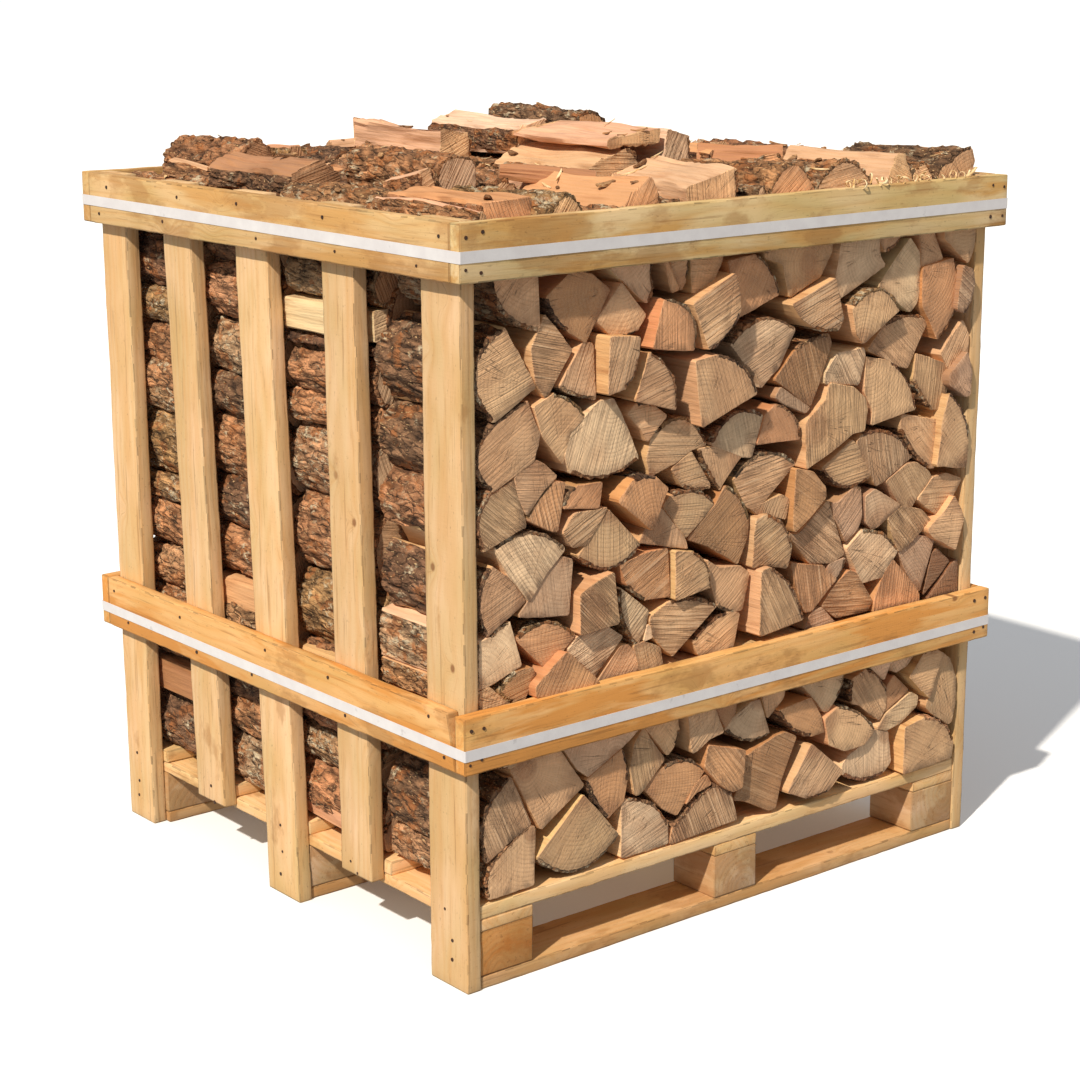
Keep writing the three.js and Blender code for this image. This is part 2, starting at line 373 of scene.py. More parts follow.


# Bark: furrows between plates painted dark, their own colour and painted shade, torn patches and crusts of
# lichen. The second trait is how much lichen grows on it, and the relief attribute says how far the surface
# stands up.
def barkMaterial():
    values = {"furrowAndShade": srgb(28, 18, 13), "lichen": srgb(212, 192, 158), "torn": srgb(170, 106, 60)}
    material, tree, shader = startMaterial("bark", 0.9)
    grain = attribute(tree, "grain")
    relief = attribute(tree, "relief", "Fac")
    traits = parted(tree, attribute(tree, "traits"))
    seed = times(tree, traits[0], 71.0)
    base = attribute(tree, "tint")
    rough = noiseAt(tree, scaled(tree, grain, (0.45, 1, 1)), 62.0, 6.0, 0.7, seed, 0.6)
    platePlace = warped(tree, scaled(tree, grain, (0.42, 1, 1)), 90.0, 0.012)
    plateInputs = {"Vector": platePlace, "Scale": 78.0}
    plates = addNode(tree, "ShaderNodeTexVoronoi", plateInputs, feature="DISTANCE_TO_EDGE")
    plateTone = addNode(tree, "ShaderNodeTexVoronoi", {"Vector": platePlace, "Scale": 78.0}).outputs["Color"]
    tone = parted(tree, plateTone)
    plateShade = mapRange(tree, tone[0], 0.0, 1.0, 0.75, 1.35)
    shade = times(tree, mapRange(tree, rough, 0.34, 0.66, 0.5, 1.7), plateShade)
    colour = shaded(tree, base, shade)
    patch = noiseAt(tree, grain, 26.0, 3.0, 0.6, plus(tree, seed, 5.0))
    torn = mapRange(tree, calc(tree, "MULTIPLY_ADD", tone[1], 0.12, patch), 0.60, 0.66, 0.0, 0.75)
    colour = blend(tree, torn, colour, values["torn"])
    # The nearly black furrow colour is partly the bark's own dark furrows and partly painted shade, strongest
    # where the surface is sunk (low)
    gap = mapRange(tree, plates.outputs[0], 0.02, 0.09, 1.0, 0.0)
    low = mapRange(tree, relief, -0.75, -0.1, 1.0, 0.0)
    furrowAndShade = calc(tree, "MAXIMUM", times(tree, gap, mapRange(tree, rough, 0.62, 0.42)), low)
    colour = blend(tree, times(tree, furrowAndShade, 0.85), colour, values["furrowAndShade"])
    growth = noiseAt(tree, grain, 24.0, 3.0, 0.6, plus(tree, seed, 9.0))
    flakes = noiseAt(tree, scaled(tree, grain, (0.6, 1, 1)), 120.0, 3.0, 0.65, plus(tree, seed, 2.0))
    edge = calc(tree, "MULTIPLY_ADD", traits[1], -0.26, 0.64)
    grown = mapRange(tree, growth, edge, plus(tree, edge, 0.08))
    lichen = times(tree, grown, mapRange(tree, flakes, 0.5, 0.58))
    lichen = times(tree, lichen, mapRange(tree, low, 0.0, 0.5, 1.0, 0.0))
    colour = blend(tree, times(tree, lichen, 0.9), colour, values["lichen"])
    fleckNoise = noiseAt(tree, scaled(tree, grain, (0.5, 1, 1)), 330.0, 1.0, 0.5, seed)
    fleck = mapRange(tree, fleckNoise, 0.655, 0.71, 0.0, 0.85)
    colour = blend(tree, fleck, colour, srgb(214, 176, 126))
    tree.links.new(colour, shader.inputs["Base Color"])
    height = plus(tree, times(tree, rough, 2.6), times(tree, lichen, 0.4))
    height = plus(tree, height, times(tree, mapRange(tree, plates.outputs[0], 0.0, 0.22), 0.8))
    height = plus(tree, height, times(tree, flakes, 0.5))
    addBump(tree, shader, height, 0.005)
    return material


# Loose chips of bark in patches of darker and paler brown
def looseBarkMaterial():
    material, tree, shader = startMaterial("loose bark", 0.9)
    place = addNode(tree, "ShaderNodeTexCoord").outputs["Object"]
    wide = noiseAt(tree, place, 19.0, 2.0, 0.5)
    colour = blend(tree, mapRange(tree, wide, 0.4, 0.6), srgb(126, 88, 58), srgb(192, 146, 100))
    close = noiseAt(tree, place, 190.0, 4.0, 0.65)
    colour = blend(tree, mapRange(tree, close, 0.50, 0.38, 0.0, 0.6), colour, srgb(78, 52, 36))
    colour = blend(tree, mapRange(tree, close, 0.6, 0.66, 0.0, 0.6), colour, srgb(204, 176, 138))
    tree.links.new(colour, shader.inputs["Base Color"])
    addBump(tree, shader, close, 0.004)
    return material


# Sawn softwood of the crate: flat-sawn figure, a few knots, stains and the saw's fuzz
def timberMaterial():
    values = {"ringWidth": 0.011, "wander": 0.05, "knotSpacing": 0.21}
    material, tree, shader = startMaterial("sawn timber", 0.72)
    grain = attribute(tree, "grain")
    traits = parted(tree, attribute(tree, "traits"))
    seed = times(tree, traits[0], 83.0)
    parts = parted(tree, grain)
    spacing = values["knotSpacing"]
    knotX = plus(tree, calc(tree, "DIVIDE", parts[0], spacing), seed)
    knotPlace = joined(tree, knotX, calc(tree, "DIVIDE", parts[1], spacing * 0.8))
    cellInputs = {"Vector": knotPlace, "Scale": 1.0}
    cell = addNode(tree, "ShaderNodeTexVoronoi", cellInputs, voronoi_dimensions="2D").outputs[0]
    knotNear = mapRange(tree, cell, 0.0, 0.3, 1.0, 0.0)
    push = times(tree, calc(tree, "POWER", knotNear, 3.0), 0.03)
    bent = joined(tree, parts[0], plus(tree, parts[1], push), parts[2])
    wood = useGroup(tree, woodFigure, {"Grain": bent, "Seed": traits[0], "Ring Width": values["ringWidth"],
                                       "Wander": values["wander"]})
    base = attribute(tree, "tint")
    shade = mapRange(tree, wood["Cloud"], 0.3, 0.7, 0.84, 1.1)
    yellow = times(tree, shade, shade)
    colour = scaled(tree, base, joined(tree, shade, shade, yellow))
    warm = scaled(tree, base, (0.86, 0.66, 0.42))
    flame = noiseAt(tree, scaled(tree, grain, (0.13, 1, 1)), 20.0, 4.0, 0.6, seed, 0.5)
    colour = blend(tree, times(tree, mapRange(tree, flame, 0.49, 0.6), traits[1]), colour, warm)
    colour = blend(tree, times(tree, wood["Rings"], 0.34), colour, warm)
    colour = blend(tree, mapRange(tree, wood["Fibre"], 0.43, 0.3, 0.0, 0.4), colour, srgb(150, 100, 50))
    scratch = noiseAt(tree, scaled(tree, grain, (0.03, 1, 1)), 170.0, 2.0, 0.5, seed)
    colour = blend(tree, mapRange(tree, scratch, 0.62, 0.7, 0.0, 0.4), colour, srgb(128, 82, 42))
    rare = mapRange(tree, noiseAt(tree, grain, 2.3, 0.0, 0.5, seed), 0.5, 0.56)
    knot = times(tree, mapRange(tree, cell, 0.020, 0.040, 0.75, 0.0), rare)
    colour = blend(tree, knot, colour, srgb(116, 66, 32))
    dirtInputs = {"Place": scaled(tree, grain, (0.5, 1, 1)), "Stain Scale": 13.0, "Amount": traits[2]}
    dirt = useGroup(tree, dirtMask, dirtInputs)
    colour = blend(tree, times(tree, dirt["Stain"], 0.45), colour, srgb(158, 108, 58))
    colour = blend(tree, times(tree, dirt["Specks"], 0.3), colour, srgb(76, 50, 30))
    tree.links.new(colour, shader.inputs["Base Color"])
    saw = noiseAt(tree, scaled(tree, grain, (1, 0.12, 0.12)), 380.0, 2.0, 0.5, seed)
    height = plus(tree, times(tree, wood["Fibre"], 0.7), times(tree, saw, 0.35))
    height = minus(tree, height, times(tree, wood["Rings"], 0.25))
    addBump(tree, shader, height, 0.0007)
    return material


def strapMaterial():
    material, tree, shader = startMaterial("strap plastic", 0.38)
    shader.inputs["Specular IOR Level"].default_value = 0.5
    place = addNode(tree, "ShaderNodeTexCoord").outputs["Object"]
    cloud = noiseAt(tree, place, 30.0, 3.0, 0.6)
    colour = blend(tree, mapRange(tree, cloud, 0.35, 0.7), srgb(210, 204, 202), srgb(220, 215, 212))
    dirt = useGroup(tree, dirtMask, {"Place": place, "Stain Scale": 40.0, "Amount": 0.35})
    colour = blend(tree, times(tree, dirt["Stain"], 0.3), colour, srgb(136, 128, 126))
    tree.links.new(colour, shader.inputs["Base Color"])
    weave = noiseAt(tree, scaled(tree, place, (1, 1, 0.15)), 900.0, 1.0, 0.5)
    addBump(tree, shader, weave, 0.0003, 0.6)
    return material


def nailMaterial():
    material, tree, shader = startMaterial("nail steel", 0.6)
    shader.inputs["Metallic"].default_value = 0.6
    place = addNode(tree, "ShaderNodeTexCoord").outputs["Object"]
    rust = noiseAt(tree, place, 400.0, 3.0, 0.6)
    colour = blend(tree, mapRange(tree, rust, 0.4, 0.6), srgb(58, 52, 48), srgb(84, 52, 34))
    tree.links.new(colour, shader.inputs["Base Color"])
    addBump(tree, shader, rust, 0.0004)
    return material


def shavingMaterial():
    material, tree, shader = startMaterial("wood shaving", 0.75)
    place = addNode(tree, "ShaderNodeTexCoord").outputs["Object"]
    tone = noiseAt(tree, place, 45.0, 3.0, 0.6)
    colour = blend(tree, mapRange(tree, tone, 0.35, 0.65), srgb(206, 164, 108), srgb(244, 222, 178))
    tree.links.new(colour, shader.inputs["Base Color"])
    addBump(tree, shader, noiseAt(tree, place, 800.0, 2.0, 0.5), 0.0004)
    return material


sawnEnd = sawnEndMaterial()
splitFace = splitFaceMaterial()
bark = barkMaterial()
looseBark = looseBarkMaterial()
timber = timberMaterial()
strapPlastic = strapMaterial()
nailSteel = nailMaterial()
shaving = shavingMaterial()
print("materials made")


# Logs

logValues = {
    "length": 250,
    "grow": 0.8,  # how far the outlines, which follow the dark gaps, are let out
    "barkThickness": 5.5,
    "cornerCut": 2.5,
    "chamfer": 1.2,
    "ragged": 1.6,  # how uneven the bark's end is
    "bend": 2,
    "skew": 0.03,  # how far the saw cut is out of square
    "endLight": (0.80, 1.12),
    "sideLight": (0.92, 1.06),
    "barkLight": (0.84, 1.14),
    "looks": {  # colours of the sawn end and of the split faces
        "pale": (srgb(232, 194, 152), srgb(234, 194, 150)),
        "tan": (srgb(218, 172, 126), srgb(218, 170, 122)),
        "orange": (srgb(214, 154, 104), srgb(208, 148, 98)),
        "brown": (srgb(182, 130, 86), srgb(178, 122, 80)),
        "grey": (srgb(200, 160, 126), srgb(172, 130, 96)),
        # The dark look is brown wood painted darker still: painted shade for ends that lie in shade
        "dark": (srgb(104, 70, 50), srgb(110, 72, 48)),
    },
    "barks": {  # colour, and how much lichen
        "brown": (srgb(148, 104, 70), 0.5),
        "dark": (srgb(108, 78, 56), 0.35),
        "red": (srgb(140, 96, 66), 0.4),
        "grey": (srgb(146, 114, 84), 0.7),
        "lichen": (srgb(142, 106, 74), 0.95),
        "olive": (srgb(138, 104, 68), 0.6),
        "smooth": (srgb(158, 116, 82), 0.3),
    },
}

# The front rank as stacked: look, roughness of the saw cut, how far the end stands forward, and the
# outline of the end, anticlockwise. A third number is how far the edge after that corner bows out, and
# such an edge carries bark.
frontLogs = [
    ("tan", 0.2, 0, [(-407, 993), (-414, 1118), (-498, 1105, 33)]),
    ("tan", 0.3, 0, [(-493, 867), (-415, 910), (-472, 1004, 47)]),
    ("tan", 1.0, 0, [(-397, 892), (-345, 957), (-397, 1014), (-424, 966), (-416, 915)]),
    ("brown", 0.1, 0, [(-355, 985), (-322, 964), (-301, 999), (-276, 1040), (-312, 1066),
                       (-350, 1075), (-398, 1040, 8)]),
    ("tan", 0.1, 0, [(-301, 995), (-270, 967, 4), (-222, 972), (-205, 995), (-255, 1049)]),
    ("pale", 0.2, 0, [(-201, 1012, 8), (-193, 1052, 4), (-198, 1110), (-266, 1110), (-272, 1068)]),
    ("tan", 0.5, 0, [(-372, 905, 5), (-301, 879), (-306, 962), (-325, 968)]),
    ("tan", 0.6, 25, [(-299, 887), (-268, 893, 8), (-240, 938), (-237, 968), (-297, 975)]),
    ("orange", 0.3, 20, [(-206, 946), (-123, 935, 28), (-186, 1020)]),
    ("tan", 0.6, 18, [(-240, 871), (-157, 848, 20), (-212, 942)]),
    ("tan", 0.2, 0, [(-152, 1024), (-137, 1027), (-160, 1072), (-175, 1095)]),
    ("tan", 0.3, 0, [(-133, 1024), (-122, 1040, 3), (-122, 1108), (-158, 1108), (-154, 1062)]),
    ("tan", 0.3, 0, [(-112, 1018), (-66, 1036), (-49, 1064), (-48, 1112), (-118, 1112)]),
    ("tan", 1.0, 25, [(-95, 933, 8), (-32, 985), (-35, 1025), (-44, 1047), (-130, 1008)]),
    ("orange", 0.3, 0, [(-12, 972), (75, 1000, 10), (22, 1068), (-38, 1062)]),
    ("tan", 0.2, 0, [(97, 994), (165, 1022), (190, 1060), (190, 1112), (42, 1112), (42, 1060),
                     (80, 1048)]),
    ("tan", 1.0, 20, [(86, 986), (106, 961), (134, 944, 4), (190, 936), (201, 952), (191, 986),
                      (182, 1019)]),
    ("pale", 0.5, 0, [(40, 855), (78, 884), (112, 942, 30), (-30, 932), (0, 900), (28, 882)]),
    ("tan", 0.3, 25, [(-108, 815), (5, 855, 16), (-80, 925), (-125, 920)]),
    ("brown", 0.7, 0, [(66, 866), (150, 813), (170, 850), (197, 912), (190, 926, 6), (112, 908)]),
    ("grey", 0.4, 0, [(68, 838), (90, 824), (140, 803), (150, 811), (80, 853)]),
    ("pale", 0.2, 0, [(210, 980), (314, 1027), (302, 1042), (290, 1112), (222, 1112), (200, 1018)]),
    ("tan", 0.2, 0, [(296, 1072), (314, 1049, 5), (355, 1072), (352, 1112), (300, 1112)]),
    ("pale", 0.3, 0, [(302, 993), (380, 944), (395, 958), (402, 985), (396, 1040), (372, 1068)]),
    ("tan", 0.2, 0, [(402, 1014), (454, 1026), (432, 1066), (425, 1108), (390, 1108)]),
    ("tan", 0.2, 15, [(506, 1016), (518, 1040), (520, 1108), (440, 1108), (444, 1060)]),
    ("grey", 0.7, 18, [(476, 941), (490, 935, 5), (508, 950), (516, 980), (508, 1007), (486, 1014)]),
    ("orange", 0.1, 8, [(424, 921), (441, 892, 30), (476, 1026), (398, 1016), (402, 951)]),
    ("tan", 0.3, 15, [(256, 905), (306, 935), (338, 953, 33), (228, 967), (238, 923)]),
    ("tan", 0.6, 0, [(280, 892), (318, 874), (350, 858), (378, 850), (400, 884), (432, 928, 10),
                     (318, 930), (298, 908)]),
    ("pale", 0.9, 0, [(182, 846), (262, 836), (275, 880), (272, 896), (207, 893), (180, 862)]),
    ("tan", 0.2, 0, [(295, 764), (400, 779, 12), (335, 868), (277, 880), (276, 822), (297, 790)]),
    ("tan", 0.7, 0, [(395, 828, 3), (440, 773), (466, 769), (480, 810), (483, 845), (397, 872)]),
    ("tan", 0.4, 5, [(481, 830), (506, 826), (524, 851), (524, 893), (506, 919), (484, 899),
                     (454, 867)]),
    ("grey", 0.4, 14, [(469, 814), (510, 788), (522, 790), (524, 829), (510, 866), (467, 830)]),
    ("tan", 0.4, 0, [(440, 672), (453, 671), (465, 752), (447, 755), (370, 773), (366, 750, 7)]),
    ("tan", 0.2, 15, [(445, 677), (522, 665), (524, 715, 12), (466, 800), (455, 757)]),
    ("tan", 0.5, 0, [(182, 706, 25), (297, 677), (262, 736), (250, 746)]),
    ("tan", 0.8, 0, [(311, 659), (326, 662), (401, 697, 22), (272, 752), (259, 740)]),
    ("tan", 0.7, 6, [(137, 712), (198, 734), (246, 757), (274, 758), (280, 791), (276, 812),
                     (246, 834), (191, 847), (181, 821), (136, 789)]),
    ("tan", 0.2, 0, [(-496, 765), (-420, 801), (-409, 838), (-431, 893), (-494, 864, 32)]),
    ("tan", 0.3, 0, [(-434, 722), (-398, 757), (-375, 772), (-397, 792), (-416, 802), (-457, 783),
                     (-449, 750)]),
    ("tan", 0.8, 0, [(-515, 680), (-435, 706), (-449, 750), (-458, 781), (-503, 764, 18)]),
    ("orange", 0.8, 0, [(-435, 715), (-386, 690), (-374, 688), (-365, 730), (-359, 761),
                        (-384, 765, 6)]),
    ("pale", 0.3, 0, [(-352, 776, 20), (-218, 780), (-250, 848), (-267, 877), (-297, 875),
                      (-350, 833), (-362, 800)]),
    ("tan", 0.2, 0, [(-363, 788), (-350, 833), (-322, 855, 8), (-385, 896), (-420, 882), (-405, 838)]),
    ("orange", 0.2, 0, [(-364, 722), (-295, 712), (-288, 752), (-338, 752, 7)]),
    ("tan", 0.9, 0, [(-347, 660), (-320, 660), (-300, 682), (-277, 710), (-340, 711), (-364, 685)]),
    ("tan", 0.3, 0, [(-337, 643, 28), (-213, 643), (-275, 707)]),
    ("pale", 0.6, 0, [(-430, 592), (-397, 629), (-361, 659, 26), (-495, 681), (-470, 637)]),
    ("orange", 0.2, 15, [(-199, 666), (-177, 711), (-167, 727), (-192, 747, 5), (-240, 750),
                         (-270, 721)]),
    ("tan", 0.3, 0, [(-192, 745), (-138, 760), (-108, 775), (-75, 780, 34), (-186, 812), (-199, 775)]),
    ("tan", 0.4, 0, [(-200, 800), (-182, 818), (-160, 836), (-190, 858, 4), (-222, 862),
                     (-240, 850), (-213, 822)]),
    ("pale", 0.5, 0, [(-69, 780), (0, 751), (22, 747), (47, 812, 28)]),
    ("orange", 0.2, 0, [(32, 766), (127, 763, 17), (70, 826), (50, 813)]),
    ("tan", 0.4, 0, [(-125, 721, 4), (-68, 709), (-66, 716), (-100, 764), (-107, 774), (-148, 752)]),
    ("tan", 0.3, 0, [(-46, 702), (-34, 718), (-8, 745), (0, 751), (-62, 776), (-95, 776, 3)]),
    ("tan", 1.0, 0, [(36, 659), (121, 724, 30), (-16, 718), (14, 668)]),
    ("tan", 0.3, 0, [(-117, 638), (-52, 683, 14), (-148, 711), (-166, 696)]),
    ("tan", 0.3, 0, [(-212, 645), (-113, 620), (-118, 636), (-168, 694), (-200, 664)]),
    ("brown", 0.2, 0, [(-5, 577), (15, 620), (17, 645, 10), (-35, 710), (-55, 682), (-90, 655),
                       (-112, 634), (-65, 615)]),
    ("orange", 0.4, 12, [(111, 613), (146, 634), (181, 661), (179, 678), (149, 708), (109, 719),
                         (106, 620)]),
    ("tan", 0.3, 0, [(57, 648), (100, 634), (106, 668), (90, 678), (22, 664), (35, 652)]),
    ("grey", 0.3, 0, [(242, 574), (272, 592), (281, 612), (278, 655, 4), (262, 666), (222, 644),
                      (206, 646), (214, 622), (232, 595)]),
    ("tan", 0.5, 0, [(397, 605), (412, 622), (450, 655), (440, 668), (412, 685), (387, 687),
                     (335, 664), (370, 620)]),
    ("grey", 0.2, 0, [(305, 586), (318, 587), (345, 602), (372, 617), (345, 634), (308, 655),
                      (286, 645), (290, 600)]),
    ("tan", 0.4, 0, [(487, 572), (503, 613), (525, 641), (485, 657), (450, 655), (412, 622),
                     (450, 594)]),
    ("tan", 0.2, 0, [(-508, 551), (-436, 593), (-470, 635), (-502, 657, 21)]),
    ("grey", 0.2, 0, [(-450, 571), (-400, 562), (-355, 557), (-346, 640), (-366, 648),
                      (-398, 629), (-432, 592)]),
    ("pale", 0.2, 0, [(-528, 472), (-507, 474), (-443, 494), (-466, 568), (-504, 549), (-526, 545)]),
    ("orange", 0.2, 0, [(-396, 476), (-341, 522, 24), (-454, 538)]),
    ("tan", 1.0, 15, [(-344, 526), (-266, 531), (-275, 612), (-308, 604), (-342, 588)]),
    ("pale", 0.8, 0, [(-302, 450), (-246, 503), (-280, 526), (-336, 521), (-357, 502)]),
    ("pale", 0.8, 0, [(-216, 481), (-200, 505), (-192, 534), (-254, 582, 13)]),
    ("orange", 1.0, 0, [(-240, 584, 4), (-200, 553), (-148, 549), (-155, 628), (-200, 628),
                        (-255, 618)]),
    ("tan", 0.2, 0, [(-298, 440), (-213, 440), (-205, 462), (-236, 488), (-252, 488)]),
    ("tan", 0.2, 0, [(-211, 440), (-160, 440), (-167, 470), (-200, 486), (-224, 484)]),
    ("pale", 0.3, 0, [(-203, 486), (-184, 489), (-186, 502), (-195, 514)]),
    ("orange", 0.2, 20, [(-432, 446), (-306, 440), (-318, 456), (-372, 506), (-408, 480), (-432, 464)]),
    ("brown", 0.3, 0, [(-462, 440), (-440, 440), (-418, 478), (-426, 488), (-455, 489), (-491, 463)]),
    ("tan", 0.2, 0, [(-528, 430), (-466, 440), (-492, 461), (-505, 473), (-526, 470)]),
    ("tan", 0.5, 10, [(-146, 544), (-72, 553, 13), (-112, 617), (-146, 623)]),
    ("tan", 0.2, 0, [(-10, 501), (6, 500), (22, 558), (0, 574), (-45, 578), (-72, 596),
                     (-64, 560), (-50, 520, 5)]),
    ("tan", 0.9, 12, [(20, 568), (42, 570), (97, 556), (105, 586, 15), (46, 652), (24, 648)]),
    ("tan", 0.9, 0, [(106, 610), (160, 551), (212, 543), (242, 553), (200, 650), (163, 627),
                     (130, 604)]),
    ("tan", 1.0, 0, [(-145, 451), (-51, 517, 10), (-150, 541), (-191, 522), (-186, 492)]),
    ("tan", 0.5, 0, [(-84, 440), (-10, 440), (2, 496), (-25, 503, 7), (-99, 467)]),
    ("tan", 0.8, 22, [(28, 456), (62, 460), (124, 467, 14), (47, 568), (27, 565)]),
    ("orange", 1.0, 0, [(148, 470), (165, 470), (222, 515), (196, 533), (190, 543), (150, 551),
                        (113, 560), (120, 535)]),
    ("grey", 0.1, 0, [(200, 527), (218, 508, 6), (242, 548), (206, 543)]),
    ("orange", 1.0, 0, [(190, 473), (225, 446), (300, 446), (312, 460), (268, 518), (252, 525),
                        (214, 502)]),
    ("grey", 0.2, 0, [(148, 440), (222, 440), (190, 472), (166, 469)]),
    ("pale", 0.3, 0, [(283, 497), (338, 499), (370, 540, 13), (278, 588), (243, 563)]),
    ("tan", 0.8, 0, [(373, 537), (402, 550), (450, 580), (425, 602), (376, 616), (342, 600),
                     (362, 552)]),
    ("tan", 0.3, 13, [(442, 556), (477, 534), (500, 522), (519, 572), (514, 590), (494, 619),
                      (464, 590), (430, 568)]),
    ("grey", 0.4, 0, [(427, 458), (462, 545), (425, 557), (373, 536), (392, 497)]),
    ("orange", 0.5, 0, [(315, 440), (428, 440), (426, 456), (388, 497), (358, 526), (338, 508),
                        (314, 462)]),
    ("dark", 0.2, 0, [(437, 448), (475, 475), (504, 499), (470, 527), (457, 521)]),
    ("dark", 0.2, 0, [(446, 440), (525, 440), (522, 500), (504, 491)]),
    ("tan", 0.2, 0, [(-524, 352), (-470, 338), (-442, 352), (-448, 430), (-524, 424)]),
    ("tan", 0.2, 0, [(-436, 354), (-374, 352), (-358, 380), (-360, 434), (-442, 434)]),
    ("tan", 0.2, 0, [(-350, 378), (-232, 378), (-214, 400), (-222, 434), (-352, 434)]),
    ("tan", 0.2, 0, [(-208, 380), (-130, 384), (-116, 436), (-210, 436)]),
    ("tan", 0.2, 0, [(-120, 356), (-8, 368), (0, 400), (-20, 436), (-108, 436)]),
    ("tan", 0.2, 0, [(0, 356), (54, 348), (118, 372), (104, 440), (8, 436)]),
    ("tan", 0.2, 0, [(124, 376), (248, 388), (262, 436), (110, 436)]),
    ("tan", 0.2, 0, [(254, 352), (306, 350), (358, 372), (350, 434), (270, 434)]),
    ("tan", 0.2, 0, [(364, 384), (420, 356), (500, 346), (524, 352), (524, 432), (360, 434)]),
    ("tan", 0.8, 0, [(-514, 198), (-462, 226), (-426, 241), (-468, 327, 29)]),
    ("tan", 0.1, 0, [(-407, 227), (-322, 278), (-372, 350), (-440, 350), (-466, 335)]),
    ("pale", 0.2, 0, [(-312, 290), (-247, 322), (-208, 348), (-230, 374), (-350, 374),
                      (-362, 346), (-335, 308)]),
    ("orange", 0.1, 0, [(-275, 213), (-243, 234), (-236, 265, 6), (-248, 322), (-300, 297),
                        (-321, 287, 4)]),
    ("tan", 0.6, 0, [(-218, 238), (-207, 239), (-157, 284), (-202, 346), (-220, 326), (-231, 285)]),
    ("tan", 0.1, 0, [(-418, 183, 41), (-251, 181), (-325, 265)]),
    ("tan", 0.1, 0, [(-512, 141), (-423, 142), (-420, 233), (-430, 239), (-466, 222), (-504, 198, 9)]),
    ("pale", 0.3, 0, [(-246, 139), (-146, 140), (-148, 170, 17), (-236, 235), (-246, 232)]),
    ("tan", 0.2, 0, [(-151, 290), (-136, 303, 4), (-128, 330), (-130, 376), (-190, 376), (-204, 350)]),
    ("tan", 0.3, 12, [(-107, 286), (-96, 287), (-70, 301), (-37, 306), (-60, 352), (-120, 352)]),
    ("brown", 0.1, 0, [(-26, 308), (-3, 328), (0, 352), (-54, 352)]),
    ("pale", 0.1, 0, [(-25, 306, 16), (75, 277), (50, 342), (30, 341), (-5, 323)]),
    ("tan", 0.1, 0, [(70, 304), (105, 332), (112, 364), (56, 344)]),
    ("orange", 0.1, 8, [(84, 318, 12), (168, 255), (199, 254), (188, 286), (162, 322)]),
    ("pale", 0.2, 0, [(202, 287), (212, 287), (231, 306, 4), (248, 345), (245, 382), (132, 372),
                      (150, 345)]),
    ("orange", 0.1, 0, [(-127, 182), (-69, 247, 15), (-160, 271), (-200, 246), (-158, 200)]),
    ("orange", 0.6, 10, [(-42, 216), (-16, 200), (6, 202), (12, 265), (-72, 292), (-80, 256)]),
    ("brown", 0.4, 0, [(-3, 178), (20, 172), (55, 155), (78, 142), (93, 143), (103, 190),
                       (134, 260), (110, 273), (88, 272), (22, 250), (14, 210)]),
    ("tan", 1.0, 0, [(-143, 137), (2, 146), (-10, 192, 6), (-52, 217, 6), (-137, 160)]),
    ("brown", 0.2, 0, [(-112, 197), (-88, 212), (-54, 219), (-66, 238), (-88, 230)]),
    ("tan", 0.4, 15, [(108, 170), (150, 151, 4), (203, 153), (236, 180), (160, 244)]),
    ("tan", 0.1, 8, [(207, 230), (244, 212), (294, 212), (321, 233, 11), (228, 293), (196, 278)]),
    ("tan", 0.6, 0, [(337, 244), (352, 262), (355, 288, 3), (347, 306, 6), (305, 342),
                     (272, 331, 4), (267, 288), (290, 281)]),
    ("pale", 0.2, 0, [(347, 314), (364, 345), (352, 362), (312, 345)]),
    ("pale", 0.2, 0, [(375, 322), (402, 330), (418, 345), (402, 376), (362, 362), (362, 342)]),
    ("pale", 0.1, 0, [(332, 231), (356, 222), (392, 228), (433, 250), (436, 268), (415, 280),
                      (352, 252)]),
    ("brown", 0.2, 0, [(352, 256), (412, 284), (372, 318), (354, 302)]),
    ("tan", 0.2, 12, [(451, 265), (463, 300), (486, 338), (465, 350, 4), (430, 350), (396, 314)]),
    ("tan", 0.2, 8, [(505, 204), (514, 208), (522, 238), (522, 285), (506, 325), (489, 337),
                     (467, 300), (446, 248), (469, 228)]),
    ("tan", 0.2, 10, [(390, 139), (516, 141), (521, 170, 16), (440, 229), (391, 224)]),
    ("pale", 0.3, 0, [(252, 166, 12), (356, 147), (372, 162), (362, 220), (328, 229), (300, 210),
                      (266, 198), (250, 184)]),
]

# Outermost logs by the left wall in the other ranks, from the deck up: foot, top and kind.
# A kind that is a log look turns a split face to the wall, any other is the bark's name. A kind with an
# underscore after it is the look where a bark has the same name.
leftColumns = {
    2: [(137, 236, "red"), (240, 305, "lichen"), (309, 350, "red"), (354, 442, "brown"),
        (446, 560, "olive"),
        (565, 686, "brown"), (690, 798, "lichen"), (802, 850, "brown"), (854, 928, "red"),
        (932, 942, "dark"),
        (946, 1006, "pale"), (1010, 1064, "grey"), (1068, 1116, "dark")],
    3: [(137, 222, "grey"), (226, 290, "brown"), (294, 346, "dark"), (350, 441, "brown"),
        (445, 505, "tan"),
        (509, 588, "brown"), (592, 672, "dark"), (676, 780, "red"), (784, 846, "dark"),
        (850, 935, "grey"),
        (940, 1030, "smooth"), (1034, 1116, "dark")],
    4: [(137, 236, "dark"), (240, 311, "brown_"), (315, 350, "dark"), (354, 442, "brown"),
        (446, 512, "smooth"),
        (516, 600, "brown"), (604, 640, "olive"), (644, 752, "olive"), (756, 830, "lichen"),
        (834, 908, "red"),
        (912, 966, "olive"), (970, 1064, "dark"), (1068, 1116, "brown")],
}

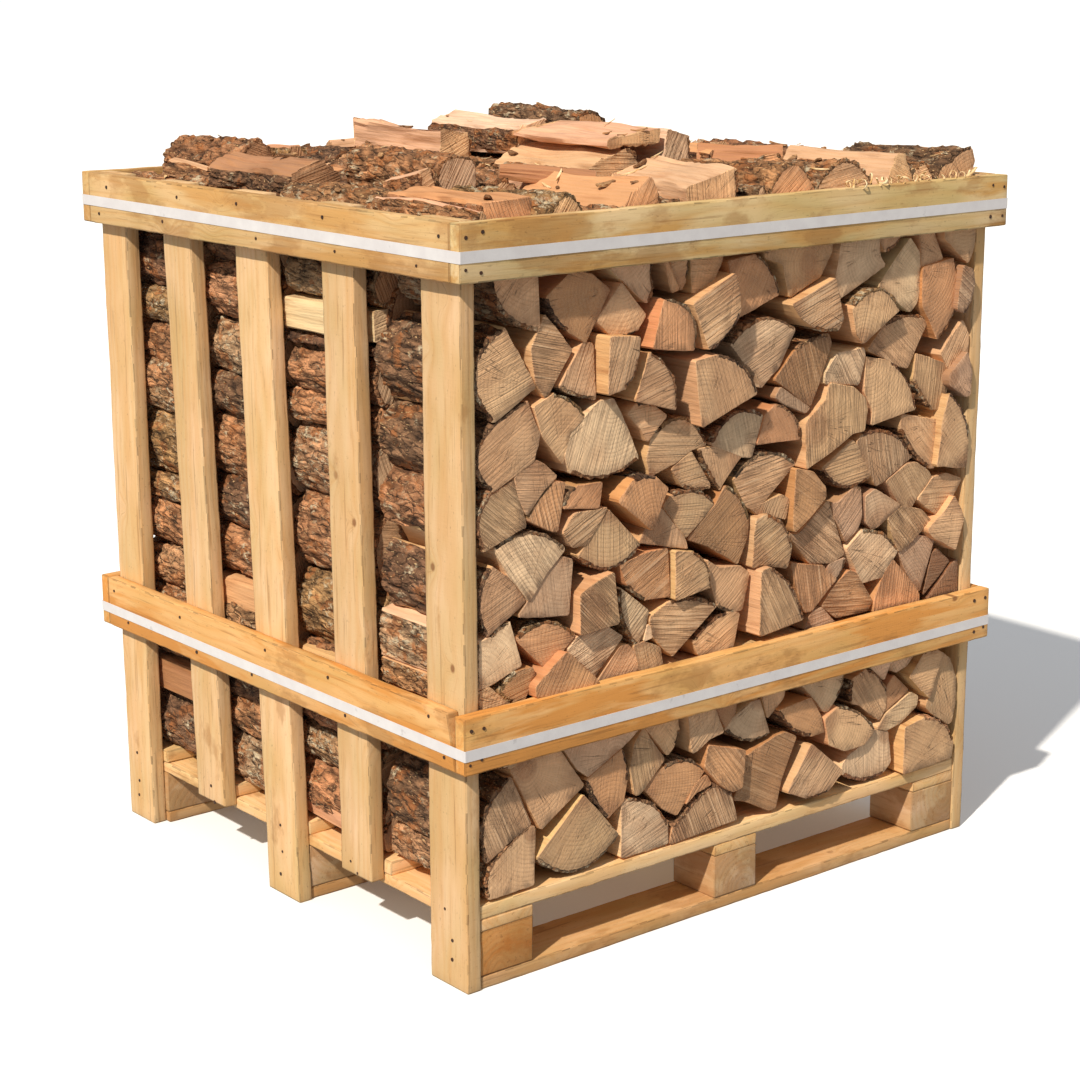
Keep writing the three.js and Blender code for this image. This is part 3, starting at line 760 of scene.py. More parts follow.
# Uppermost logs of each rank that are part of the stack: look, bark, turn in degrees and outline
heapLogs = {
    1: [
        ("tan", "brown", 0, [(-525, 1122), (-507, 1122), (-506, 1166), (-519, 1174, 6)]),
        ("tan", "olive", 2, [(-402, 1122), (-330, 1122, 4), (-328, 1150, 31), (-400, 1152, 3)]),
        ("tan", "brown", 0, [(-168, 1121), (-127, 1121), (-130, 1150, 13), (-166, 1152, 3)]),
        ("grey", "lichen", 0, [(16, 1120), (42, 1120, 2), (40, 1160, 10), (18, 1160, 2)]),
        ("orange", "brown", -2, [(52, 1121), (140, 1121, 8), (148, 1160, 38), (50, 1162, 9)]),
        ("tan", "brown", 0, [(387, 1121), (430, 1121), (428, 1160, 18), (388, 1168)]),
    ],
    2: [
        ("tan", "brown", 2, [(-520, 1110), (-466, 1110, 3), (-464, 1150, 26), (-518, 1146, 4)]),
        ("grey", "dark", -2, [(-458, 1108), (-408, 1108), (-408, 1150, 14), (-456, 1154)]),
        ("tan", "brown", -3, [(-312, 1108), (-228, 1108, 4), (-226, 1156, 32), (-310, 1154, 4)]),
        ("tan", "brown", 2, [(-216, 1108), (-126, 1108), (-128, 1160), (-170, 1186, 5), (-214, 1174)]),
        ("brown", "red", 1, [(122, 1108), (206, 1108, 3), (204, 1164, 28), (124, 1162, 3)]),
        ("pale", "grey", -2, [(212, 1108), (310, 1108), (306, 1166, 6), (262, 1194, 6), (214, 1182)]),
        ("tan", "red", 0, [(429, 1108), (474, 1108), (473, 1165, 18), (431, 1162)]),
        ("tan", "dark", -3, [(480, 1108), (522, 1108), (518, 1146, 20), (482, 1156)]),
    ],
    3: [
        ("tan", "dark", 3, [(-390, 1108), (-308, 1108, 3), (-308, 1148, 30), (-388, 1148, 3)]),
        ("brown", "red", -2, [(-300, 1106), (-216, 1106), (-216, 1164, 20), (-298, 1162)]),
        ("tan", "dark", 0, [(-208, 1106), (-140, 1106), (-140, 1180, 6), (-206, 1180)]),
        ("tan", "brown", 0, [(-134, 1106), (-50, 1106), (-50, 1180, 8), (-132, 1180)]),
        ("tan", "dark", 0, [(-44, 1106), (40, 1106), (40, 1180, 7), (-42, 1180)]),
        ("tan", "dark", 0, [(46, 1106), (148, 1106), (148, 1182, 7), (48, 1180)]),
        ("tan", "brown", 2, [(158, 1106), (256, 1106, 4), (256, 1164, 32), (160, 1162, 4)]),
        ("pale", "dark", -2, [(266, 1106), (348, 1106), (348, 1156, 30), (268, 1156)]),
        ("tan", "olive", 2, [(358, 1106), (438, 1106, 3), (436, 1150, 24), (360, 1150, 3)]),
        ("tan", "brown", -2, [(448, 1106), (519, 1106, 3), (516, 1136, 20), (450, 1142, 3)]),
    ],
    4: [
        ("brown", "brown", 4, [(-516, 1106), (-452, 1106, 3), (-456, 1142, 16), (-508, 1150, 6)]),
        ("tan", "brown", -3, [(-354, 1106), (-268, 1106, 3), (-268, 1156, 28), (-352, 1152)]),
        ("tan", "dark", 2, [(-260, 1106), (-162, 1106), (-162, 1166, 24), (-258, 1164)]),
        ("brown", "brown", -2, [(-152, 1106), (-52, 1106, 3), (-52, 1174, 20), (-150, 1168)]),
        ("tan", "red", 2, [(-42, 1106), (58, 1106), (58, 1176, 22), (-40, 1178)]),
        ("tan", "grey", 1, [(68, 1106), (162, 1106, 3), (162, 1168, 26), (70, 1168, 3)]),
        ("pale", "brown", 0, [(172, 1106), (260, 1106), (258, 1160), (216, 1194, 4), (174, 1176)]),
        ("tan", "dark", -2, [(268, 1106), (348, 1106, 3), (348, 1156, 24), (270, 1156)]),
        ("tan", "brown", 2, [(358, 1106), (438, 1106), (438, 1146, 24), (360, 1150)]),
        ("tan", "red", -2, [(448, 1106), (520, 1106, 3), (516, 1134, 18), (450, 1140)]),
    ],
}

# Loose logs on the top: turn, look, bark, roughness of the saw cut and the section from its lower left corner
topLogs = {
    "top_log_01": (-3, "orange", "red", 0.4, [(-42, 0), (36, 0), (42, 66), (-44, 62, 3)]),
    "top_log_02": (0, "orange", "brown", 0.4, [(-56, 0), (54, 0, 5), (52, 60), (36, 79), (-14, 42, 4)]),
    "top_log_03": (-12, "tan", "brown", 0.3, [(-40, 0), (42, 0, 6), (46, 84), (-42, 60)]),
    "top_log_04": (0, "tan", "brown", 0.6, [(-60, 0), (60, 0, 5), (65, 42, 38), (-64, 42, 5)]),
    "top_log_05": (0, "tan", "brown", 0.3, [(-52, 0), (46, 0, 8), (22, 82), (2, 84)]),
    "top_log_06": (0, "tan", "dark", 0.3, [(-48, 0), (44, 0), (45, 44, 3), (50, 62), (40, 86, 7),
                                           (-14, 66, 9), (-46, 40, 3)]),
    "top_log_07": (0, "grey", "brown", 0.9, [(-36, 0), (32, 0, 4), (38, 40, 14), (6, 74, 8),
                                             (-36, 60, 5)]),
    "top_log_08": (0, "tan", "brown", 1.0, [(-48, 0), (48, 0), (50, 44, 6), (22, 66), (-50, 36, 10)]),
    "top_log_09": (0, "tan", "brown", 0.2, [(-52, 0), (52, 0), (54, 24), (-54, 10)]),
    "top_log_10": (0, "pale", "brown", 1.0, [(-24, 0), (26, 0, 3), (26, 78), (-20, 90)]),
    "top_log_11": (0, "tan", "red", 0.2, [(-44, 0), (46, 0, 4), (48, 26, 20), (-46, 26, 3)]),
    "top_log_12": (0, "brown", "dark", 0.8, [(-48, 0), (46, 0), (48, 26), (10, 54), (-48, 34, 3)]),
    "top_log_13": (0, "tan", "brown", 0.3, [(-28, 0), (30, 0, 5), (28, 40), (-30, 52)]),
    "top_log_14": (0, "pale", "dark", 0.2, [(-38, 0), (36, 0, 6), (24, 56), (-32, 42, 5)]),
    "top_log_15": (0, "brown", "dark", 0.2, [(-38, 0), (38, 0, 8), (26, 58, 5), (-22, 60, 7)]),
    "top_log_16": (0, "brown", "red", 0.6, [(-32, 0), (30, 0, 6), (30, 44, 3), (6, 68, 3),
                                            (-28, 46, 8)]),
}


# Points round an outline, each with the kind of the stretch that leads on from it
def pointsRound(corners, spacing):
    points = []
    for i, corner in enumerate(corners):
        x, z, bow = (*corner, 0)[:3]
        nextX, nextZ = corners[(i + 1) % len(corners)][:2]
        edge = math.hypot(nextX - x, nextZ - z)
        middleX = (x + nextX) / 2 + 2 * bow * (nextZ - z) / edge
        middleZ = (z + nextZ) / 2 + 2 * bow * (x - nextX) / edge
        cut = min(0.2, logValues["cornerCut"] / edge)
        steps = max(1, round((edge + bow) / (spacing if bow else 1.5 * spacing)))
        for k in range(steps + 1):
            t = cut + (1 - 2 * cut) * k / steps
            pointX = (1 - t) ** 2 * x + 2 * t * (1 - t) * middleX + t * t * nextX
            pointZ = (1 - t) ** 2 * z + 2 * t * (1 - t) * middleZ + t * t * nextZ
            points.append((pointX, pointZ, bow > 0))
    return points


# The pith lies past the corner that is furthest from the bark, or well outside a log without bark
def pithOf(corners, dice):
    middleX = sum(corner[0] for corner in corners) / len(corners)
    middleZ = sum(corner[1] for corner in corners) / len(corners)
    barked = [i for i, corner in enumerate(corners) if len(corner) > 2 and corner[2] > 0]
    if not barked:
        angle = dice.uniform(0, 2 * math.pi)
        away = dice.uniform(20, 70)
        return middleX + away * math.cos(angle), middleZ + away * math.sin(angle)
    i = max(barked, key=lambda k: corners[k][2])
    j = (i + 1) % len(corners)
    barkX = (corners[i][0] + corners[j][0]) / 2
    barkZ = (corners[i][1] + corners[j][1]) / 2
    far = max(corners, key=lambda corner: math.hypot(corner[0] - barkX, corner[1] - barkZ))
    past = dice.uniform(-0.12, 0.1)
    return far[0] + (far[0] - barkX) * past, far[1] + (far[1] - barkZ) * past


def startPile():
    return {"points": [], "grain": [], "relief": [], "faces": [], "slots": [], "tint": [], "traits": []}


# Plates stand up between furrows that follow the grain; the result is about -1 in a furrow to 0.4 on a plate
def barkRelief(x, y, z):
    plates = min(1, 3.4 * abs(noise.noise(Vector((x * 0.046, y * 0.017, z * 0.046)))))
    chips = min(1, 3.0 * abs(noise.noise(Vector((x * 0.11, y * 0.045, z * 0.11)))))
    fine = noise.noise(Vector((x * 0.3, y * 0.15, z * 0.3)))
    return 0.75 * plates + 0.45 * chips + 0.3 * fine - 0.85


def splitRelief(x, y, z):
    swell = noise.noise(Vector((x * 0.02, y * 0.009, z * 0.02)))
    fibres = noise.noise(Vector((x * 0.19, y * 0.012, z * 0.19)))
    return 1.3 * swell + 0.8 * fibres


# Adds one log to a pile. Its outline is at yFront and it runs back by length.
def addLog(pile, corners, yFront, length, look, barkName, sawing, seed, detail, turn=0.0, tilt=0.0):
    dice = random.Random(seed)
    endTint, sideTint = logValues["looks"][look]
    barkTint, lichen = logValues["barks"][barkName]
    light = dice.uniform(*logValues["endLight"])
    # A detail's endLight is painted light on the sawn ends; logValues' endLight is a random tone per log
    endShare = detail.get("endLight", 1) * light
    endTint = [value * endShare * dice.uniform(0.97, 1.03) for value in endTint]
    sideShare = detail.get("sideLight", (1, 1, 1))
    sideLight = logValues["sideLight"]
    sideTint = [value * share * dice.uniform(*sideLight) for value, share in zip(sideTint, sideShare)]
    barkShare = detail.get("barkLight", 1) * dice.uniform(*logValues["barkLight"])
    barkTint = [value * barkShare * dice.uniform(0.97, 1.03) for value in barkTint]
    mark = dice.random()
    sawAngle = dice.uniform(0, math.pi)
    points = pointsRound(corners, detail["spacing"])
    pithX, pithZ = pithOf(corners, dice)
    count = len(points)
    centreX = sum(point[0] for point in points) / count
    centreZ = sum(point[1] for point in points) / count
    outward = []
    for i in range(count):
        before = points[i - 1]
        after = points[(i + 1) % count]
        run, rise = after[0] - before[0], after[1] - before[1]
        size = math.hypot(run, rise) or 1
        outward.append((rise / size, -run / size))
    bend = logValues["bend"]
    bendX, bendZ = (dice.uniform(-bend, bend) * detail.get("bend", 1) for _ in "xz")
    taper = dice.uniform(0.0, detail.get("taper", 0.05))
    skewed = logValues["skew"]
    skew = [(dice.uniform(-skewed, skewed), dice.uniform(-skewed, skewed)) for _ in range(2)]
    edgeDepth = 1.1  # without bark
    bark = logValues["barkThickness"]
    thick = [bark * dice.uniform(0.7, 1.2) if point[2] else edgeDepth for point in points]
    rings = detail["rings"]
    grow = detail.get("grow", logValues["grow"])
    shift = Vector((dice.uniform(0, 900), dice.uniform(0, 900), dice.uniform(0, 900)))
    turned = Matrix.Rotation(math.radians(turn), 3, "Z") @ Matrix.Rotation(math.radians(tilt), 3, "X")
    middle = Vector((centreX, yFront + length / 2, centreZ))
    first = len(pile["points"])

    def put(x, y, z, raised=0.0):
        pile["relief"].append(raised)
        place = turned @ (Vector((x, y, z)) - middle) + middle
        pile["points"].append(place * mm)
        pile["grain"].append(((y - middle.y) * mm + mark, (x - pithX) * mm, (z - pithZ) * mm))
        return len(pile["points"]) - 1

    def face(corner, slot, tint, traits):
        pile["faces"].append(corner)
        pile["slots"].append(slot)
        pile["tint"].append(tint)
        pile["traits"].append(traits)

    def skewAt(end, x, z):
        return skew[end][0] * (x - centreX) + skew[end][1] * (z - centreZ)

    endTraits = (mark, sawing, sawAngle)
    barkTraits = (mark, lichen, 0)
    for j in range(rings + 1):
        crowding = detail["crowding"]
        t = (j / rings) ** crowding if crowding > 0 else 1 - (1 - j / rings) ** -crowding
        size = 1 - taper * t
        for i, (x, z, barked) in enumerate(points):
            y = yFront + length * t
            spot = (x + shift.x, y + shift.y, z + shift.z)
            raised = barkRelief(*spot) if barked else 0
            lift = detail["barkDepth"] * raised if barked else detail["splitDepth"] * splitRelief(*spot)
            lift += grow
            bowed = math.sin(math.pi * t)
            pointX = centreX + (x - centreX) * size + outward[i][0] * lift + bendX * bowed
            pointZ = centreZ + (z - centreZ) * size + outward[i][1] * lift + bendZ * bowed
            lean = skewAt(0, x, z) * (1 - t) + skewAt(1, x, z) * t
            chamfer = logValues["chamfer"] * ((t == 0) - (t == 1))
            ragged = 0
            if barked and t in (0, 1):
                ragged = logValues["ragged"] * noise.noise(Vector((x * 0.3, z * 0.3, mark * 50)))
            put(pointX, y + lean + chamfer + ragged, pointZ, raised)
    for j in range(rings):
        for i in range(count):
            following = (i + 1) % count
            a = first + j * count + i
            b = first + j * count + following
            barked = points[i][2] and points[following][2]
            tint, slot, traits = (barkTint, 2, barkTraits) if barked else (sideTint, 1, (mark, 0, 0))
            face((b, a, a + count, b + count), slot, tint, traits)

    for end, caps in ((0, detail["frontCaps"]), (1, detail["backCaps"])):
        ringStart = first + (rings * count if end else 0)
        size = 1 - taper * end
        y = yFront + length * end
        hollow = dice.uniform(-0.6, 0.6)
        rows = [[ringStart + i for i in range(count)]]
        inner = []
        for i, (x, z, barked) in enumerate(points):
            depth = thick[i] - grow
            inner.append((x - outward[i][0] * depth, z - outward[i][1] * depth))
        for level in range(caps):
            share = 1 - level / caps
            row = []
            for x, z in inner:
                pointX = centreX + (x - centreX) * share * size
                pointZ = centreZ + (z - centreZ) * share * size
                rough = 0.5 * noise.noise(Vector((pointX * 0.06, pointZ * 0.06, mark * 90)))
                bulge = rough + hollow * (1 - share)
                # The outermost ring of a sawn end gets -0.5 in relief; the end's colour is darkened there
                # with painted shade and grime
                row.append(put(pointX, y + skewAt(end, pointX, pointZ) + bulge, pointZ, -0.5 * (level == 0)))
            rows.append(row)
        centre = put(centreX, y + hollow, centreZ)
        for level in range(caps + 1):
            outer = rows[level]
            for i in range(count):
                following = (i + 1) % count
                rim = level == 0 and points[i][2] and points[following][2]
                tint, slot, traits = (barkTint, 2, barkTraits) if rim else (endTint, 0, endTraits)
                if level < caps:
                    deeper = rows[level + 1]
                    corner = (outer[i], outer[following], deeper[following], deeper[i])
                else:
                    corner = (outer[i], outer[following], centre)
                face(corner if end == 0 else corner[::-1], slot, tint, traits)


def pileObject(name, pile, materials):
    mesh = bpy.data.meshes.new(name)
    mesh.from_pydata(pile["points"], [], pile["faces"])
    for material in materials:
        mesh.materials.append(material)
    mesh.polygons.foreach_set("material_index", pile["slots"])
    mesh.polygons.foreach_set("use_smooth", [True] * len(pile["faces"]))
    mesh.attributes.new("relief", "FLOAT", "POINT").data.foreach_set("value", pile["relief"])
    for label, domain in (("grain", "POINT"), ("tint", "FACE"), ("traits", "FACE")):
        layer = mesh.attributes.new(label, "FLOAT_VECTOR", domain)
        layer.data.foreach_set("vector", [value for entry in pile[label] for value in entry])
    mesh.set_sharp_from_angle(angle=math.radians(38))
    mesh.update()
    made = bpy.data.objects.new(name, mesh)
    bpy.context.collection.objects.link(made)
    return made


logMaterials = [sawnEnd, splitFace, bark]
# Crowding draws the rings of a log's mesh towards the end that shows: the front, or the back if negative.
# Logs in the hidden ranks are let out more, so that the stack can't be seen through.
rankDetail = {
    1: {"spacing": 6, "rings": 5, "crowding": 1.7, "frontCaps": 3, "backCaps": 1},
    2: {"spacing": 12, "rings": 3, "crowding": 1, "frontCaps": 1, "backCaps": 1, "grow": 6},
    3: {"spacing": 12, "rings": 3, "crowding": 1, "frontCaps": 1, "backCaps": 1, "grow": 6},
    4: {"spacing": 7, "rings": 5, "crowding": -1.7, "frontCaps": 1, "backCaps": 2},
}
for detail in rankDetail.values():
    detail.update(barkDepth=4, splitDepth=1)
columnDetail = {
    "spacing": 4.8, "rings": 20, "crowding": 1, "frontCaps": 3, "backCaps": 2,
    "barkDepth": 6, "splitDepth": 2, "barkLight": 1.45,
}
# endLight makes the sawn ends of heap logs lighter: painted light for the sky light that falls on the top of
# the heap
heapDetail = {
    "spacing": 4.6, "rings": 24, "crowding": 1, "frontCaps": 3, "backCaps": 3,
    "barkDepth": 7.5, "splitDepth": 5.5, "barkLight": 1.25, "endLight": 1.3, "sideLight": (0.95, 1.02, 1.2),
    "bend": 2.5, "taper": 0.12,
}
# endLight here is the same painted light on the ends of the loose pieces
looseDetail = {
    "spacing": 3.2, "rings": 12, "crowding": 1, "frontCaps": 2, "backCaps": 2,
    "barkDepth": 4, "splitDepth": 3.5, "barkLight": 1.25, "endLight": 1.2, "sideLight": (0.95, 1.02, 1.2),
    "bend": 1.5, "taper": 0.6,
}
barkNames = ["brown", "dark", "red", "grey", "lichen", "olive", "smooth", "brown", "dark"]
stackFoot, stackTop = 135, 1118
columnEdge = -440


def mirrored(corners, flipX, flipZ):
    turned = [((-1 if flipX else 1) * corner[0],
               (stackFoot + stackTop - corner[1]) if flipZ else corner[1],
               corner[2] if len(corner) > 2 else 0) for corner in corners]
    if flipX == flipZ:
        return turned
    bows = [corner[2] for corner in turned]
    return [(x, z, bows[i - 1]) for i, (x, z, _) in enumerate(turned)][::-1]


# Gives bark to the edges that face the left wall too
def barkedTowards(corners):
    done = []
    for i, corner in enumerate(corners):
        x, z, bow = (*corner, 0)[:3]
        rise = corners[(i + 1) % len(corners)][1] - z
        done.append((x, z, bow or (1.5 if rise < -12 else 0)))
    return done


def columnOutline(foot, top, kind):
    if kind in logValues["barks"]:
        bow = min(24, 0.24 * (top - foot))
        outer = -523 + bow
        return [(outer, foot - 1, 4), (columnEdge, foot + 4),
                (columnEdge + 4, top - 4, 4), (outer + 3, top + 1, bow)]
    return [(-520, foot + 5), (columnEdge, foot + 2), (columnEdge - 2, top - 3), (-522, top - 6)]


def buildRank(rank):
    name = f"log_rank_{rank}"
    low, high = (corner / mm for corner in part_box(name))
    pile = startPile()
    length = logValues["length"] - 6
    dice = random.Random(100 + rank)
    flipX, flipZ = rank == 2, rank == 3
    for i, (look, sawing, forward, corners) in enumerate(frontLogs):
        seed = 1000 * rank + i
        outline = mirrored(corners, flipX, flipZ)
        middleX = sum(corner[0] for corner in outline) / len(outline)
        detail = columnDetail if abs(middleX) > -columnEdge - 5 else rankDetail[rank]
        if rank == 1:
            if middleX < columnEdge:
                outline = barkedTowards(outline)
            yFront = low[1] - forward + dice.uniform(-1, 2)
            addLog(pile, outline, yFront, length, look, dice.choice(barkNames), sawing, seed, detail)
            continue
        if middleX < columnEdge - 15:
            continue
        look = dice.choice(["tan", "tan", "pale", "orange", "brown", "grey", look])
        yFront = low[1] + dice.uniform(-1, 6)
        if rank == 4:
            yFront = high[1] - length + dice.uniform(-4, 2) + (dice.random() < 0.25) * dice.uniform(6, 22)
        addLog(pile, outline, yFront, length, look, dice.choice(barkNames), sawing, seed, detail)
    for i, (foot, top, kind) in enumerate(leftColumns.get(rank, [])):
        split = kind not in logValues["barks"]
        outline = columnOutline(foot, top, kind)
        look = kind.strip("_") if split else dice.choice(["tan", "pale", "brown"])
        barkName = "brown" if split else kind
        yFront = low[1] + dice.uniform(0, 8)
        addLog(pile, outline, yFront, length - dice.uniform(0, 14), look, barkName, 0.4, 500 + 50 * rank + i,
               columnDetail, dice.uniform(-1.5, 1.5), dice.uniform(-1.5, 1.5))
    for i, (look, barkName, turn, corners) in enumerate(heapLogs[rank]):
        yFront = low[1] + 3 + dice.uniform(-6, 6)
        tilt = dice.uniform(-3.5, 3.5)
        turn += dice.uniform(-3, 3)
        seed = 700 + 50 * rank + i
        addLog(pile, corners, yFront, length, look, barkName, 0.6, seed, heapDetail, turn, tilt)
    made = pileObject(f"split_logs_{rank}", pile, logMaterials)
    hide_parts(name)
    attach(made, "root")
    print(name, sum(len(corner) - 2 for corner in pile["faces"]), "triangles")


def buildTopLog(name, values, seed):
    turn, look, barkName, sawing, section = values
    low, high = (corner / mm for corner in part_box(name))
    middle = (low + high) / 2
    length = 236 if turn < -5 else logValues["length"]
    pile = startPile()
    foot = low[2]
    outline = [(middle[0] + corner[0], foot + corner[1], *corner[2:]) for corner in section]
    offset = middle[0] - (min(c[0] for c in outline) + max(c[0] for c in outline)) / 2
    outline = [(corner[0] + offset, *corner[1:]) for corner in outline]
    tilt = random.Random(seed).uniform(-1.5, 1.5)
    yFront = middle[1] - length / 2
    addLog(pile, outline, yFront, length, look, barkName, sawing, seed, heapDetail, turn, tilt)
    made = pileObject(f"{name}_wood", pile, logMaterials)
    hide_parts(name)
    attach(made, "root")


for rankNumber in (1, 2, 3, 4):
    buildRank(rankNumber)
for number, (topName, topValues) in enumerate(topLogs.items()):
    buildTopLog(topName, topValues, 40 + number)
print("logs stacked")


# Sawn timber of the crate and the pallet

timberValues = {
    "wall_plank": {"tint": srgb(222, 184, 136), "flame": 0.3, "dirt": 0.4, "slot": "plank_wood"},
    "top_board": {"tint": srgb(214, 176, 122), "flame": 0.7, "dirt": 0.75, "slot": "board_wood"},
    "top_board_front": {"tint": srgb(214, 184, 132), "flame": 1.0, "dirt": 0.7, "slot": "board_wood"},
    "middle_board": {"tint": srgb(226, 174, 110), "flame": 1.5, "dirt": 0.6, "slot": "board_wood"},
    "pallet_runner": {"tint": srgb(208, 164, 114), "flame": 0.5, "dirt": 0.6, "slot": "pallet_wood"},
    "pallet_block": {"tint": srgb(206, 170, 130), "flame": 0.3, "dirt": 0.9, "slot": "pallet_wood"},
    "pallet_block_front_left": {"tint": srgb(198, 140, 80), "flame": 0.9, "dirt": 0.6, "slot": "pallet_wood"},
    "pallet_stringer": {"tint": srgb(236, 192, 138), "flame": 0.4, "dirt": 0.5, "slot": "pallet_wood"},
    "pallet_deck": {"tint": srgb(242, 202, 150), "flame": 0.35, "dirt": 0.4, "slot": "pallet_wood"},
}
timberShape = {"bevel": 0.0026, "slice": 0.016, "waver": 0.0009, "grit": 0.0007}


def shapeTimber(name, values, seed):
    dice = random.Random(seed)
    low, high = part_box(name)
    size = high - low
    order = sorted(range(3), key=lambda axis: -size[axis])
    if "block" in name:
        order = [1, 0, 2]
    longAxis, wideAxis, thinAxis = order
    form = bmesh.new()
    form.from_mesh(frame["nodes"][name].data)
    bmesh.ops.remove_doubles(form, verts=form.verts, dist=1e-5)
    bmesh.ops.dissolve_limit(form, angle_limit=math.radians(1), verts=form.verts, edges=form.edges)
    bmesh.ops.bevel(form, geom=list(form.edges), offset=timberShape["bevel"], segments=2, profile=0.6,
                    affect="EDGES", clamp_overlap=True)
    slices = int(size[longAxis] / timberShape["slice"])
    for i in range(1, slices):
        place = low.copy()
        place[longAxis] = low[longAxis] + size[longAxis] * i / slices
        across = Vector([axis == longAxis for axis in range(3)])
        everything = list(form.verts) + list(form.edges) + list(form.faces)
        bmesh.ops.bisect_plane(form, geom=everything, plane_co=place, plane_no=across)
    shift = Vector((seed * 3.7, seed * 1.3, seed * 2.1))
    for corner in form.verts:
        waver = noise.noise_vector(corner.co * 9 + shift) * timberShape["waver"]
        grit = noise.noise_vector(corner.co * 160 + shift) * timberShape["grit"]
        waver[2] *= 0.3 if low.z < 0.001 else 1
        corner.co += waver + grit
        corner.co.z = max(corner.co.z, 0)
    bmesh.ops.recalc_face_normals(form, faces=form.faces)
    mesh = bpy.data.meshes.new(f"{name}_wood")
    form.to_mesh(mesh)
    form.free()
    mesh.polygons.foreach_set("use_smooth", [True] * len(mesh.polygons))
    mesh.set_sharp_from_angle(angle=math.radians(50))
    mesh.materials.append(timber)

    centre = (low + high) / 2
    pithSide = dice.uniform(-0.03, 0.03)
    pithDepth = dice.choice((-1, 1)) * dice.uniform(0.015, 0.06)
    mark = dice.random()
    grain = mesh.attributes.new("grain", "FLOAT_VECTOR", "POINT")
    places = []
    for corner in mesh.vertices:
        offset = corner.co - centre
        places += [offset[longAxis] + mark * 3, offset[wideAxis] + pithSide, offset[thinAxis] + pithDepth]
    grain.data.foreach_set("vector", places)
    light = dice.uniform(0.93, 1.05)
    tintColour = [value * light for value in values["tint"]]
    tint = mesh.attributes.new("tint", "FLOAT_VECTOR", "FACE")
    shades = []
    for polygon in mesh.polygons:
        edge = max(abs(value) for value in polygon.normal) < 0.97
        worn = dice.uniform(0.5, 0.9) if edge else 1
        shades += [value * worn for value in tintColour]
    tint.data.foreach_set("vector", shades)
    traits = mesh.attributes.new("traits", "FLOAT_VECTOR", "FACE")
    traits.data.foreach_set("vector", [mark, values["flame"], values["dirt"]] * len(mesh.polygons))
    made = bpy.data.objects.new(f"{name}_wood", mesh)
    bpy.context.collection.objects.link(made)
    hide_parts(name)
    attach(made, "root")


def isTimber(name):
    return not name.startswith(("log_", "top_log")) and "strap" not in name


timberNodes = sorted(filter(isTimber, frame["nodes"]))
for number, name in enumerate(timberNodes):
    family = "_".join(name.split("_")[:2])
    shapeTimber(name, timberValues.get(name, timberValues[family]), 300 + number)
for name in ("top_strap", "middle_strap"):
    node = frame["nodes"][name]
    node.data.materials.clear()
    node.data.materials.append(strapPlastic)
print("timber and straps finished")


# Small things made by Geometry Nodes: nails, chips of bark, splinters and shavings.
# Every point carries the way it faces (aim), its turn about that (spin) and its size.
def startScatter(name, inputs):
    tree = bpy.data.node_groups.new(name, "GeometryNodeTree")
    tree.interface.new_socket("Geometry", in_out="INPUT", socket_type="NodeSocketGeometry")
    for label, kind, value in inputs:
        tree.interface.new_socket(label, in_out="INPUT", socket_type=kind).default_value = value
    tree.interface.new_socket("Geometry", in_out="OUTPUT", socket_type="NodeSocketGeometry")
    return tree, tree.nodes.new("NodeGroupInput").outputs, tree.nodes.new("NodeGroupOutput").inputs


def namedField(tree, name, kind):
    made = addNode(tree, "GeometryNodeInputNamedAttribute", data_type=kind)
    made.inputs["Name"].default_value = name
    return made.outputs["Attribute"]


def endScatter(tree, given, result, shape, material, rough=0.0):
    points = addNode(tree, "GeometryNodeMeshToPoints", {"Mesh": given["Geometry"]}).outputs[0]
    aim = {"Vector": namedField(tree, "aim", "FLOAT_VECTOR")}
    facing = addNode(tree, "FunctionNodeAlignRotationToVector", aim, axis="Z").outputs[0]
    spin = addNode(tree, "FunctionNodeAxisAngleToRotation",
                   {"Axis": (0, 0, 1), "Angle": namedField(tree, "spin", "FLOAT")}).outputs[0]
    turned = addNode(tree, "FunctionNodeRotateRotation", {"Rotation": facing, "Rotate By": spin},
                     rotation_space="LOCAL").outputs[0]
    placed = addNode(tree, "GeometryNodeInstanceOnPoints", {
        "Points": points, "Instance": shape, "Rotation": turned,
        "Scale": namedField(tree, "size", "FLOAT_VECTOR"),
    }).outputs[0]
    real = addNode(tree, "GeometryNodeRealizeInstances", {"Geometry": placed}).outputs[0]
    if rough:
        wobble = addNode(tree, "ShaderNodeTexNoise", {"Scale": 70.0, "Detail": 2.0}).outputs["Color"]
        half = {0: wobble, 1: (0.5, 0.5, 0.5)}
        centred = addNode(tree, "ShaderNodeVectorMath", half, operation="SUBTRACT").outputs[0]
        size = {0: centred, "Scale": rough}
        offset = addNode(tree, "ShaderNodeVectorMath", size, operation="SCALE").outputs[0]
        real = addNode(tree, "GeometryNodeSetPosition", {"Geometry": real, "Offset": offset}).outputs[0]
    painted = addNode(tree, "GeometryNodeSetMaterial", {"Geometry": real, "Material": material}).outputs[0]
    tree.links.new(painted, result["Geometry"])


def nailTree():
    inputs = [("Head Radius", "NodeSocketFloat", 0.003), ("Head Height", "NodeSocketFloat", 0.002),
              ("Sides", "NodeSocketInt", 10)]
    tree, given, result = startScatter("nails", inputs)
    head = addNode(tree, "GeometryNodeMeshCylinder", {
        "Vertices": given["Sides"], "Radius": given["Head Radius"], "Depth": given["Head Height"],
    }).outputs["Mesh"]
    endScatter(tree, given, result, head, nailSteel)
    return tree


